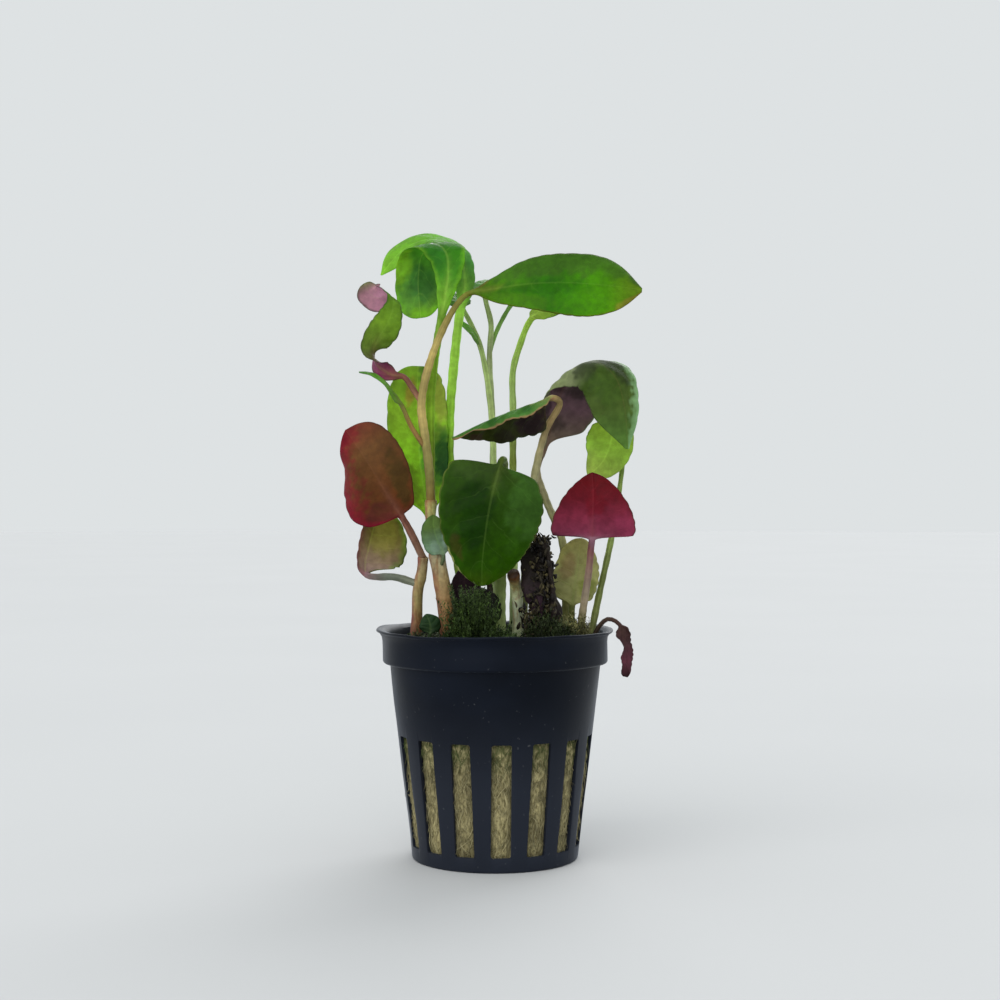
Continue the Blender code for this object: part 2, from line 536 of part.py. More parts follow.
leaf("leaf_withered_rim",
     [(592, FOOT, -4), (598, 628, -4.6), (608, 619, -5), (619, 624, -5.2), (625, 643, -5.2),
      (627, 660, -5), (626, 677, -4.8)],
     3, (1.6, 0.4, 0.5), (1.6, 0.4, 0.5), [(0.5, -1, 0.2)], (0.09, 0.02, 0.02),
     (0.1, 0.1), (0.2, 0.2), radii=(0.5, 0.45), ridge=0.1, across=3, stalk=6, blade=6)
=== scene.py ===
# Potted cardinal flower: a slotted net pot, its stone wool, moss and a young plant.
import math

import bpy
import numpy as np
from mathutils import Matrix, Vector


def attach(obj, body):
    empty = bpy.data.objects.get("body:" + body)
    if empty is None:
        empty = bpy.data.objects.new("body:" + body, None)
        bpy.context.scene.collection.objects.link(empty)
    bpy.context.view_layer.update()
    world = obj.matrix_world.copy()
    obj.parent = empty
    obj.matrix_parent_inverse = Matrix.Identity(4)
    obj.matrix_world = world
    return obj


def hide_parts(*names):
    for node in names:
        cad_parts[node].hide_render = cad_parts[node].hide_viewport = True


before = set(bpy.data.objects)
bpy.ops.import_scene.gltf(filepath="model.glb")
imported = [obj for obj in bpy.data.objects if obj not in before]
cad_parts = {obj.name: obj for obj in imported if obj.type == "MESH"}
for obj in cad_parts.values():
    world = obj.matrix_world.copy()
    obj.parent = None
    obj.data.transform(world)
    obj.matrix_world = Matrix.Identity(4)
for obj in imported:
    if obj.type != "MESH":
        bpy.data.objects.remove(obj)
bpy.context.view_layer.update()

MM = 0.001
FULL_TURN = 2 * math.pi

# Pot and stone wool: sizes in millimetres, turns in degrees
LIP_TOP = 50.4
LIP_RADIUS = 26.2
COLLAR_RADIUS = 24.9
COLLAR_INSIDE = COLLAR_RADIUS - 1.1
COLLAR_FOOT = 43.2
WALL_TOP_RADIUS = 23.3
WALL_FOOT_RADIUS = 18.3
WALL_THICK = 0.85
FLOOR_THICK = 1.2
SLOTS = 15
SLOT_PITCH = 360.0 / SLOTS
SLOT_WIDTH = 4.3
SLOT_TOP = 27.5
SLOT_FOOT = 3.2
SLOT_TURN = 4.0
SLOT_RADIUS = 20.0
SLOT_REACH = 9.0
WOOL_TOP = 47.0
ROOT_SPREAD = 22.0
MOSS_SPREAD = 22.6
MOSS_STALK = 0.07
SHRED_PLACE = (9.7, -8.6)
SHRED_RISE = 23.0

# Numbers of sides, rings and strands
POT_SIDES = 180
WOOL_SIDES = 200
STEM_SIDES = 28
STRAND_RINGS = 6
FIBRES = 3400
ROOTS = 1500
SHREDS = 1100

# Front drawing of the plant, DRAW_STEPS to a millimetre over the pot's middle, seen from EYE_AWAY
DRAW_WIDTH = 1000.0
DRAW_CENTRE = DRAW_WIDTH / 2
DRAW_STEPS = 4.52
EYE_X = 1.1
EYE_Z = 78.8
EYE_AWAY = 380.0
FOOT = -1.0
ROOT_LEVEL = WOOL_TOP + 0.45

# Blade and petiole of a leaf, in millimetres, and the share of a blade where the petiole turns flat
BLADE = 0.34
MIDRIB_WIDTH = 0.5
GROOVE_DEPTH = 0.1
GROOVE_WIDTH = 0.4
VEIN_HEIGHT = 0.05
PETIOLE_STEP = 0.8
FLAT_FROM = 0.12


def at(point):
    """Place in millimetres of a point given as steps across, steps down or FOOT, and depth."""
    across, down, depth = point
    if down == FOOT:
        down = DRAW_CENTRE + (EYE_Z - ROOT_LEVEL) * DRAW_STEPS * EYE_AWAY / (EYE_AWAY + depth)
    near = (EYE_AWAY + depth) / (DRAW_STEPS * EYE_AWAY)
    return np.array((EYE_X + (across - DRAW_CENTRE) * near, depth, EYE_Z - (down - DRAW_CENTRE) * near))


def eased(u):
    """Share from 0 to 1 with a gentle start and end."""
    return u * u * (3 - 2 * u)


def cubic(u, a, b, slope_a, slope_b):
    """Curve from a to b with a slope at each end, at u from 0 to 1."""
    return ((1 + 2 * u) * (1 - u) ** 2 * a + u * (1 - u) ** 2 * slope_a
            + eased(u) * b + u * u * (u - 1) * slope_b)


def curve_through(points, stations):
    """Smooth path through the points, with tangents from their neighbours."""
    points = np.array(points, float)
    steps = np.sqrt(np.linalg.norm(np.diff(points, axis=0), axis=1))
    knots = np.concatenate(([0.0], np.cumsum(steps)))
    slopes = np.gradient(points, knots, axis=0)
    values = np.interp(stations, np.linspace(0, 1, len(knots)), knots)
    i = np.clip(np.searchsorted(knots, values) - 1, 0, len(knots) - 2)
    h = (knots[i + 1] - knots[i])[:, None]
    u = (values - knots[i])[:, None] / h
    return cubic(u, points[i], points[i + 1], h * slopes[i], h * slopes[i + 1])


def path_length(places):
    """Length of a path through the places."""
    return float(np.linalg.norm(np.diff(places, axis=0), axis=1).sum())


def evenly(points, low, high, count, ends=0.0):
    """Places between two of a path's points at even lengths, closer at the ends."""
    last = len(points) - 1
    places = curve_through(points, np.linspace(low / last, high / last, 900))
    lengths = np.concatenate(([0.0], np.cumsum(np.linalg.norm(np.diff(places, axis=0), axis=1))))
    share = np.linspace(0, 1, count)
    share = (1 - ends) * share + ends * (1 - np.cos(np.pi * share)) / 2
    wanted = share * lengths[-1]
    return np.stack([np.interp(wanted, lengths, places[:, k]) for k in range(3)], axis=1), share


def length_between(points, low, high):
    """Length of a path between two of its points."""
    return path_length(evenly(points, low, high, 300)[0])


def along(values, t):
    """Value at t of numbers that are spread evenly from 0 to 1."""
    values = np.atleast_1d(np.array(values, float))
    if len(values) == 1:
        return float(values[0])
    x = t * (len(values) - 1)
    i = min(int(x), len(values) - 2)
    u = eased(x - i)
    return float(values[i] * (1 - u) + values[i + 1] * u)


def width_at(shape, t):
    """Half width of a blade at t: three numbers are a size and two powers, more are widths."""
    if len(shape) > 3:
        slopes = np.gradient(np.array(shape, float))
        x = t * (len(shape) - 1)
        i = min(int(x), len(shape) - 2)
        return float(cubic(x - i, shape[i], shape[i + 1], slopes[i], slopes[i + 1]))
    size, p, q = shape
    t = min(max(t, 0.0), 1.0)
    widest = p / (p + q)
    return size * (t / widest) ** p * ((1 - t) / (1 - widest)) ** q


def unit(v):
    """Vectors made one unit long."""
    return v / np.maximum(np.linalg.norm(v, axis=-1, keepdims=True), 1e-9)


def ripple(places, size, seed):
    """Smooth irregular number near -1 to 1 for places in millimetres, waves about size long."""
    draw = np.random.default_rng(seed)
    total = np.zeros(places.shape[:-1])
    for _ in range(9):
        way = unit(draw.normal(size=places.shape[-1]))
        wave = FULL_TURN / (size * draw.uniform(0.7, 1.6))
        total += np.sin(places @ (way * wave) + draw.uniform(0, 6.28))
    return total / 3.2


def rgb(red, green, blue):
    """Colour as the eye sees it, from 0 to 255, made linear."""
    c = np.array((red, green, blue)) / 255.0
    return np.where(c <= 0.04045, c / 12.92, ((c + 0.055) / 1.055) ** 2.4)


def paint(colour):
    """Colour from 0 to 255 as a value for a colour socket."""
    return (*rgb(*colour), 1)


def laid_over(tones, colour, share):
    """Tones with a share of a colour, from 0 to 255, laid over each."""
    return tones * (1 - share[..., None]) + rgb(*colour) * share[..., None]


def tones_between(first, second, share):
    """Tones at shares of the way from the first colour to the second."""
    return rgb(*first) * (1 - share) + rgb(*second) * share


def ramp(stops, t):
    """Colours at t from stops of (place, colour)."""
    spots = [s[0] for s in stops]
    shades = np.array([rgb(*s[1]) for s in stops])
    return np.stack([np.interp(t, spots, shades[:, k]) for k in range(3)], axis=-1)


def only(piece):
    """Makes this piece the only selected one."""
    bpy.ops.object.select_all(action="DESELECT")
    piece.select_set(True)
    bpy.context.view_layer.objects.active = piece


def joined(pieces, first):
    """The pieces joined into the first one."""
    only(first)
    for piece in pieces:
        piece.select_set(True)
    bpy.ops.object.join()
    return first


def face_outwards(piece):
    """Turns the faces of a closed piece outwards."""
    only(piece)
    bpy.ops.object.mode_set(mode="EDIT")
    bpy.ops.mesh.select_all(action="SELECT")
    bpy.ops.mesh.normals_make_consistent(inside=False)
    bpy.ops.object.mode_set(mode="OBJECT")


def places_of(piece):
    """Places of a piece's points in millimetres, their angle round the pot and the way outwards there."""
    form = np.zeros(len(piece.data.vertices) * 3)
    piece.data.vertices.foreach_get("co", form)
    form = form.reshape(-1, 3) / MM
    angle = np.arctan2(form[:, 0], -form[:, 1])
    return form, angle, np.stack((np.sin(angle), -np.cos(angle), np.zeros_like(angle)), axis=1)


def set_places(piece, form):
    """Moves a piece's points to places in millimetres."""
    piece.data.vertices.foreach_set("co", (form * MM).ravel())
    piece.data.update()


def put_tones(mesh, tones):
    """Gives a mesh the tone of each of its points."""
    layer = mesh.attributes.new("tone", "FLOAT_COLOR", "POINT")
    spread = np.concatenate((np.clip(tones, 0, 1), np.ones((len(tones), 1))), axis=1)
    layer.data.foreach_set("color", spread.ravel())


def finish_piece(piece, name, material, node=None):
    """Names a piece, gives it its material and sets it on the model."""
    piece.name = name
    piece.data.name = name
    piece.data.materials.clear()
    piece.data.materials.append(material)
    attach(piece, "root")
    if node:
        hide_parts(node)
    return piece


def wrap(rows, facts, tones):
    """Closed skin over rows of places that each run round once; facts and tones go on its points."""
    count, around = rows.shape[:2]
    bpy.ops.object.select_all(action="DESELECT")
    bpy.ops.mesh.primitive_grid_add(x_subdivisions=around, y_subdivisions=count - 1, size=1.0)
    skin = bpy.context.active_object
    mesh = skin.data

    def round_once(values):
        return np.concatenate((values, values[:, :1]), axis=1).reshape(-1, 3)

    mesh.vertices.foreach_set("co", (round_once(rows) * MM).ravel())
    for key, values in facts.items():
        layer = mesh.attributes.new(key, "FLOAT_VECTOR", "POINT")
        layer.data.foreach_set("vector", round_once(values).ravel())
    put_tones(mesh, round_once(tones))
    mesh.update()
    bpy.ops.object.mode_set(mode="EDIT")
    bpy.ops.mesh.select_all(action="SELECT")
    bpy.ops.mesh.remove_doubles(threshold=0.0000004)
    bpy.ops.mesh.select_all(action="SELECT")
    bpy.ops.mesh.fill_holes(sides=0)
    bpy.ops.object.mode_set(mode="OBJECT")
    face_outwards(skin)
    bpy.ops.object.shade_smooth()
    return skin


# Shared effects

def new_group(name, sockets_in, sockets_out):
    """Empty node group with named sockets, and its two end nodes."""
    group = bpy.data.node_groups.new(name, "ShaderNodeTree")
    for label, kind, start in sockets_in:
        made = group.interface.new_socket(name=label, in_out="INPUT", socket_type=kind)
        if start is not None:
            made.default_value = start
    for label, kind in sockets_out:
        group.interface.new_socket(name=label, in_out="OUTPUT", socket_type=kind)
    return group, group.nodes.new("NodeGroupInput"), group.nodes.new("NodeGroupOutput")


class Desk:
    """Adds nodes to one tree and joins them."""

    def __init__(self, tree):
        self.tree = tree

    def add(self, kind, **values):
        node = self.tree.nodes.new(kind)
        for key, value in values.items():
            setattr(node, key, value)
        return node

    def join(self, source, target):
        self.tree.links.new(source, target)

    def put(self, socket, value):
        """Joins a socket's value, or sets a plain one."""
        if isinstance(value, bpy.types.NodeSocket):
            self.join(value, socket)
        elif value is not None:
            socket.default_value = value

    def math(self, operation, a, b=None):
        node = self.add("ShaderNodeMath", operation=operation)
        self.put(node.inputs[0], a)
        self.put(node.inputs[1], b)
        return node.outputs[0]

    def times(self, a, b):
        return self.math("MULTIPLY", a, b)

    def between(self, value, low, high, to_low=0.0, to_high=1.0):
        """Smooth step from one number to another while the value goes from low to high."""
        node = self.add("ShaderNodeMapRange", interpolation_type="SMOOTHSTEP")
        for socket, one in zip(node.inputs, (value, low, high, to_low, to_high)):
            self.put(socket, one)
        return node.outputs[0]

    def mix(self, share, a, b, way="MIX"):
        node = self.add("ShaderNodeMix", data_type="RGBA", blend_type=way)
        self.put(node.inputs["Factor"], share)
        self.put(node.inputs["A"], a)
        self.put(node.inputs["B"], b)
        return node.outputs["Result"]

    def noise(self, vector, scale, detail=3.0, rough=0.55):
        node = self.add("ShaderNodeTexNoise")
        self.put(node.inputs["Vector"], vector)
        node.inputs["Scale"].default_value = scale
        node.inputs["Detail"].default_value = detail
        node.inputs["Roughness"].default_value = rough
        return node.outputs["Fac"]

    def group(self, group, **values):
        """Outputs of a shared effect, placed with these values."""
        node = self.add("ShaderNodeGroup", node_tree=group)
        for key, value in values.items():
            self.put(node.inputs[key], value)
        return node.outputs

    def fact(self, name, output="Vector"):
        return self.add("ShaderNodeAttribute", attribute_name=name).outputs[output]

    def parts(self, vector):
        node = self.add("ShaderNodeSeparateXYZ")
        self.put(node.inputs[0], vector)
        return node.outputs

    def place(self):
        return self.add("ShaderNodeTexCoord").outputs["Object"]

    def drawn_out(self, place, squeeze):
        """Places squeezed along the upright, which draws a pattern out that way."""
        node = self.add("ShaderNodeMapping")
        self.join(place, node.inputs["Vector"])
        node.inputs["Scale"].default_value = (1.0, 1.0, squeeze)
        return node.outputs[0]

    def scaled(self, colour, factor):
        """Colour made stronger or weaker by a number."""
        node = self.add("ShaderNodeVectorMath", operation="SCALE")
        self.put(node.inputs[0], colour)
        self.put(node.inputs["Scale"], factor)
        return node.outputs[0]


def make_vein_group():
    """Midrib and side veins of a blade from its own measures."""
    group, source, result = new_group(
        "blade_veins",
        [("Blade", "NodeSocketVector", None), ("Rib", "NodeSocketVector", None),
         ("Place", "NodeSocketVector", None), ("Midrib width", "NodeSocketFloat", 0.45),
         ("Vein width", "NodeSocketFloat", 0.2)],
        [("Midrib", "NodeSocketFloat"), ("Veins", "NodeSocketFloat"), ("On blade", "NodeSocketFloat")])
    desk = Desk(group)
    blade = desk.parts(source.outputs["Blade"])
    rib = desk.parts(source.outputs["Rib"])
    side = desk.math("ABSOLUTE", blade[0])
    off_middle = desk.times(side, blade[2])
    slim = desk.math("SUBTRACT", 1.0, desk.times(blade[1], 0.75))
    half = desk.times(source.outputs["Midrib width"], slim)
    midrib = desk.between(off_middle, desk.times(half, 0.35), half, 1.0, 0.0)
    wander = desk.noise(source.outputs["Place"], 260.0, 2.0)
    share = desk.math("FRACT", desk.math("ADD", rib[0], desk.between(wander, 0.25, 0.75, -0.13, 0.13)))
    off_vein = desk.times(desk.math("ABSOLUTE", desk.math("SUBTRACT", share, 0.5)), rib[1])
    thin = desk.times(source.outputs["Vein width"],
                     desk.math("SUBTRACT", 1.0, desk.times(side, 0.55)))
    vein = desk.between(off_vein, desk.times(thin, 0.2), thin, 1.0, 0.0)
    fade = desk.between(side, 0.72, 0.98, 1.0, 0.0)
    on_blade = desk.between(blade[1], 0.0, 0.06, 0.0, 1.0)
    worn = desk.between(desk.noise(source.outputs["Place"], 420.0, 2.0), 0.35, 0.6, 0.25, 1.0)
    vein = desk.times(desk.times(desk.times(vein, fade), on_blade), worn)
    desk.join(desk.times(midrib, on_blade), result.inputs["Midrib"])
    desk.join(vein, result.inputs["Veins"])
    desk.join(on_blade, result.inputs["On blade"])
    return group


def make_net_group():
    """Fine net of small veins and the pillows between them."""
    group, source, result = new_group(
        "fine_net",
        [("Place", "NodeSocketVector", None), ("Scale", "NodeSocketFloat", 900.0)],
        [("Lines", "NodeSocketFloat"), ("Pillows", "NodeSocketFloat")])
    desk = Desk(group)
    bend = desk.add("ShaderNodeTexNoise")
    desk.put(bend.inputs["Vector"], source.outputs["Place"])
    bend.inputs["Scale"].default_value = 500.0
    shift = desk.add("ShaderNodeVectorMath", operation="MULTIPLY_ADD")
    desk.join(bend.outputs["Color"], shift.inputs[0])
    shift.inputs[1].default_value = (0.0007, 0.0007, 0.0007)
    desk.join(source.outputs["Place"], shift.inputs[2])
    cells = desk.add("ShaderNodeTexVoronoi", feature="DISTANCE_TO_EDGE")
    desk.join(shift.outputs[0], cells.inputs["Vector"])
    desk.join(source.outputs["Scale"], cells.inputs["Scale"])
    desk.join(desk.between(cells.outputs["Distance"], 0.02, 0.10, 1.0, 0.0), result.inputs["Lines"])
    desk.join(desk.between(cells.outputs["Distance"], 0.0, 0.4), result.inputs["Pillows"])
    return group


def make_mottle_group():
    """Uneven strength of a colour at three sizes."""
    group, source, result = new_group(
        "mottle",
        [("Place", "NodeSocketVector", None), ("Coarse", "NodeSocketFloat", 120.0)],
        [("Broad", "NodeSocketFloat"), ("Small", "NodeSocketFloat"), ("Specks", "NodeSocketFloat")])
    desk = Desk(group)
    for label, scale, detail in (("Broad", 1.0, 3.0), ("Small", 6.0, 4.0), ("Specks", 24.0, 2.0)):
        node = desk.add("ShaderNodeTexNoise")
        desk.put(node.inputs["Vector"], source.outputs["Place"])
        desk.put(node.inputs["Scale"], desk.times(source.outputs["Coarse"], scale))
        node.inputs["Detail"].default_value = detail
        desk.join(node.outputs["Fac"], result.inputs[label])
    return group


veins_group = make_vein_group()
net_group = make_net_group()
mottle_group = make_mottle_group()


def new_skin(name):
    """New material, with a desk on its nodes, its shader and its output."""
    material = bpy.data.materials.new(name)
    material.use_nodes = True
    nodes = material.node_tree.nodes
    return material, Desk(material.node_tree), nodes["Principled BSDF"], nodes["Material Output"]


def set_relief(desk, shader, height, strength, distance):
    """Fine relief from a height on a shader's normal."""
    relief = desk.add("ShaderNodeBump")
    relief.inputs["Strength"].default_value = strength
    relief.inputs["Distance"].default_value = distance
    desk.join(height, relief.inputs["Height"])
    desk.join(relief.outputs[0], shader.inputs["Normal"])
    return relief.outputs[0]


def let_light_through(desk, shader, output, colour, share, normal=None):
    """Mixes light that comes through a thin blade with the light off its skin."""
    through = desk.add("ShaderNodeBsdfTranslucent")
    desk.join(colour, through.inputs["Color"])
    desk.put(through.inputs["Normal"], normal)
    both = desk.add("ShaderNodeMixShader")
    both.inputs[0].default_value = share
    desk.join(shader.outputs[0], both.inputs[1])
    desk.join(through.outputs[0], both.inputs[2])
    desk.join(both.outputs[0], output.inputs["Surface"])


def blade_skin(name, vein, midrib, vein_share, rough=0.42, glow=0.34, net=0.12, bump=0.5, gloss=0.2):
    """Skin of a leaf: its own tones, veins, fine net, uneven gloss and light through it."""
    material, desk, shader, output = new_skin(name)
    place = desk.place()
    lines = desk.group(veins_group, Blade=desk.fact("blade"), Rib=desk.fact("rib"), Place=place)
    fine = desk.group(net_group, Place=place)
    spots = desk.group(mottle_group, Place=place)
    colour = desk.scaled(desk.fact("tone", "Color"), desk.between(spots["Broad"], 0.25, 0.75, 0.78, 1.24))
    colour = desk.scaled(colour, desk.between(spots["Small"], 0.3, 0.7, 0.88, 1.12))
    colour = desk.mix(desk.times(fine["Lines"], desk.times(lines["On blade"], net)),
                      colour, desk.scaled(colour, 1.5))
    colour = desk.mix(desk.times(lines["Veins"], vein_share),
                      colour, desk.mix(0.5, desk.scaled(colour, 1.6), paint(vein)))
    colour = desk.mix(desk.times(lines["Midrib"], min(1.0, vein_share * 1.25)),
                      colour, desk.mix(0.5, desk.scaled(colour, 1.7), paint(midrib)))
    desk.join(colour, shader.inputs["Base Color"])
    desk.join(desk.between(spots["Small"], 0.3, 0.7, rough - 0.07, rough + 0.1), shader.inputs["Roughness"])
    shader.inputs["Specular IOR Level"].default_value = gloss
    height = desk.math("ADD", desk.times(fine["Pillows"], 0.5), desk.times(spots["Specks"], 0.35))
    height = desk.math("SUBTRACT", height, desk.times(lines["Veins"], 0.7))
    normal = set_relief(desk, shader, height, bump, 0.00009)
    let_light_through(desk, shader, output, desk.scaled(colour, 1.35), glow, normal)
    return material


def stem_skin(name, streak, rough=0.5, bump=0.6):
    """Skin of a stem: its own tones with long streaks, fine ribs and uneven gloss."""
    material, desk, shader, _ = new_skin(name)
    place = desk.place()
    streaks = desk.noise(desk.drawn_out(place, 0.13), 1200.0, 4.0, 0.6)
    spots = desk.group(mottle_group, Place=place, Coarse=200.0)
    colour = desk.scaled(desk.fact("tone", "Color"), desk.between(spots["Broad"], 0.25, 0.75, 0.75, 1.25))
    colour = desk.mix(desk.between(streaks, 0.46, 0.66, 0.0, 0.8), colour,
                      desk.mix(1.0, colour, streak, "MULTIPLY"))
    colour = desk.scaled(colour, desk.between(spots["Small"], 0.35, 0.65, 0.86, 1.14))
    desk.join(colour, shader.inputs["Base Color"])
    desk.join(desk.between(spots["Small"], 0.3, 0.7, rough - 0.1, rough + 0.12), shader.inputs["Roughness"])
    shader.inputs["Specular IOR Level"].default_value = 0.3
    height = desk.math("ADD", desk.times(streaks, 0.8), desk.times(spots["Specks"], 0.4))
    set_relief(desk, shader, height, bump, 0.00012)
    return material


def pot_plastic():
    """Satin black plastic with a bluish bloom, paler low down partly as a painted reflection, with fine
    scratches and dust.
    """
    material, desk, shader, _ = new_skin("pot_plastic")
    place = desk.place()
    spots = desk.group(mottle_group, Place=place, Coarse=45.0)
    scratches = desk.noise(desk.drawn_out(place, 0.12), 2400.0, 2.0, 0.5)
    # Paler low down: partly a painted reflection mixed into the plastic's colour.
    lower = desk.between(desk.parts(place)[2], 0.014, 0.040, 1.0, 0.0)
    colour = desk.mix(desk.between(spots["Broad"], 0.35, 0.7, 0.0, 1.0), (0.0020, 0.0029, 0.0062, 1),
                      (0.0044, 0.0064, 0.0128, 1))
    colour = desk.mix(desk.times(lower, 0.5), colour, (0.028, 0.033, 0.047, 1))
    dust = desk.times(desk.between(spots["Specks"], 0.69, 0.76), desk.between(spots["Small"], 0.45, 0.6))
    colour = desk.mix(desk.times(dust, 0.35), colour, (0.12, 0.125, 0.13, 1))
    desk.join(colour, shader.inputs["Base Color"])
    rough = desk.math("ADD", desk.between(spots["Broad"], 0.3, 0.7, 0.36, 0.5), desk.times(dust, 0.2))
    rough = desk.math("ADD", rough, desk.between(scratches, 0.62, 0.75, 0.0, 0.08))
    desk.join(rough, shader.inputs["Roughness"])
    shader.inputs["Specular IOR Level"].default_value = 0.10
    shader.inputs["Specular Tint"].default_value = (0.80, 0.90, 1.0, 1)
    shader.inputs["Sheen Weight"].default_value = 0.13
    shader.inputs["Sheen Roughness"].default_value = 0.3
    shader.inputs["Sheen Tint"].default_value = (0.70, 0.82, 1.0, 1)
    height = desk.math("ADD", desk.times(spots["Small"], 0.6), desk.times(scratches, 0.15))
    set_relief(desk, shader, height, 0.35, 0.00012)
    return material


def wool_mat(name, light, dark, damp):
    """Stone wool: matted fibres, uneven in tone, and green higher up where algae grow."""
    material, desk, shader, _ = new_skin(name)
    place = desk.place()
    matted = desk.noise(desk.drawn_out(place, 0.35), 2200.0, 5.0, 0.65)
    spots = desk.group(mottle_group, Place=place, Coarse=130.0)
    level = desk.parts(place)[2]
    colour = desk.mix(desk.between(matted, 0.35, 0.65), paint(dark), paint(light))
    colour = desk.scaled(colour, desk.between(spots["Broad"], 0.3, 0.7, 0.75, 1.2))
    green = desk.times(desk.between(level, 0.020, 0.029, 0.15, 1.0),
                       desk.between(spots["Small"], 0.38, 0.6, 0.25, 1.0))
    colour = desk.mix(desk.times(green, 0.75), colour, paint(damp))
    desk.join(colour, shader.inputs["Base Color"])
    shader.inputs["Roughness"].default_value = 0.9
    shader.inputs["Specular IOR Level"].default_value = 0.15
    set_relief(desk, shader, matted, 0.8, 0.0003)
    return material


def tuft_mat(name, rough, glow):
    """Small strands or leaves whose tones are their own, with a little light through them."""
    material, desk, shader, output = new_skin(name)
    spots = desk.group(mottle_group, Place=desk.place(), Coarse=260.0)
    colour = desk.scaled(desk.fact("tone", "Color"), desk.between(spots["Broad"], 0.3, 0.7, 0.7, 1.3))
    desk.join(colour, shader.inputs["Base Color"])
    shader.inputs["Roughness"].default_value = rough
    shader.inputs["Specular IOR Level"].default_value = 0.25
    let_light_through(desk, shader, output, desk.scaled(colour, 1.3), glow)
    return material


GREEN_SKIN = blade_skin("green_blade", (100, 138, 50), (108, 142, 58), 0.26, net=0.06, gloss=0.1)
BRIGHT_SKIN = blade_skin("bright_blade", (160, 195, 80), (180, 200, 100), 0.28,
                         glow=0.45, net=0.05, gloss=0.1)
DARK_SKIN = blade_skin("deep_green_blade", (85, 115, 50), (95, 120, 55), 0.3,
                       rough=0.4, glow=0.16, gloss=0.06, net=0.05)
# Darker copy of the leaf skin, with painted shade, for low leaves that lie under the others.
PAINTED_SHADE_SKIN = blade_skin("painted_shade_blade", (66, 84, 44), (80, 96, 54), 0.4,
                        rough=0.5, glow=0.1, gloss=0.1, net=0.03)
RED_SKIN = blade_skin("crimson_blade", (130, 40, 50), (140, 60, 66), 0.2,
                      rough=0.48, glow=0.26, net=0.04, gloss=0.08)
MAROON_SKIN = blade_skin("maroon_blade", (80, 45, 30), (110, 70, 52), 0.22,
                         rough=0.46, glow=0.18, net=0.04, gloss=0.07)
WITHERED_SKIN = blade_skin("withered_blade", (30, 20, 18), (45, 30, 25), 0.4,
                           rough=0.6, glow=0.06, net=0.1, bump=0.9, gloss=0.12)
STEM_SKIN = stem_skin("tan_stem", (0.68, 0.46, 0.34, 1))
WITHERED_STEM = stem_skin("withered_stem", (0.5, 0.4, 0.45, 1), 0.6, 0.9)


# Leaves

def leaf_stations(path, start, step):
    """Places along a leaf with their t: -1 to 0 on the petiole and 0 to 1 on the blade; also its length."""
    last = len(path) - 1
    length = length_between(path, start, last)
    places, ts = evenly(path, start, last, max(30, int(length / step)), 0.6)
    if start > 0:
        count = max(6, int(length_between(path, 0, start) / PETIOLE_STEP))
        petiole, t_petiole = evenly(path, 0, start, count)
        places = np.concatenate((petiole[:-1], places))
        ts = np.concatenate((t_petiole[:-1] - 1.0, ts))
    return places, ts, length


def upper_ways(places, tangents, ts, faces, edge):
    """Way that the upper side looks at each place, carried on down the petiole."""
    first = int(np.argmax(ts >= 0))
    faces = np.array(faces, float)
    ways = np.zeros_like(places)
    for i in range(first, len(places)):
        look = np.array([along(faces[:, k], ts[i]) for k in range(3)])
        if edge:
            look = np.cross(look, tangents[i])
        ways[i] = unit(look - tangents[i] * np.dot(look, tangents[i]))
    for i in range(first - 1, -1, -1):
        ways[i] = unit(ways[i + 1] - tangents[i] * np.dot(ways[i + 1], tangents[i]))
    return ways


def margin(shape, t, teeth, blunt, shifts):
    """Half width of one side of a blade at t, with its teeth, and with a rounder tip where blunt."""
    half = width_at(shape, t)
    past = t * (len(shape) - 1) - (len(shape) - 2)
    if blunt and past > 0:
        half += blunt * (shape[-2] - shape[-1]) * (math.sqrt(1 - past ** 2) - 1 + past)
    count, depth = teeth
    run = t * count * (1 + 0.12 * math.sin(5 * t + shifts[0]))
    saw = abs(math.sin(math.pi * run + shifts[1])) ** 0.8 - 0.6
    half += depth * saw * min(1.0, half / 2.5) * (1 - t ** 6)
    return max(half, 0.1)


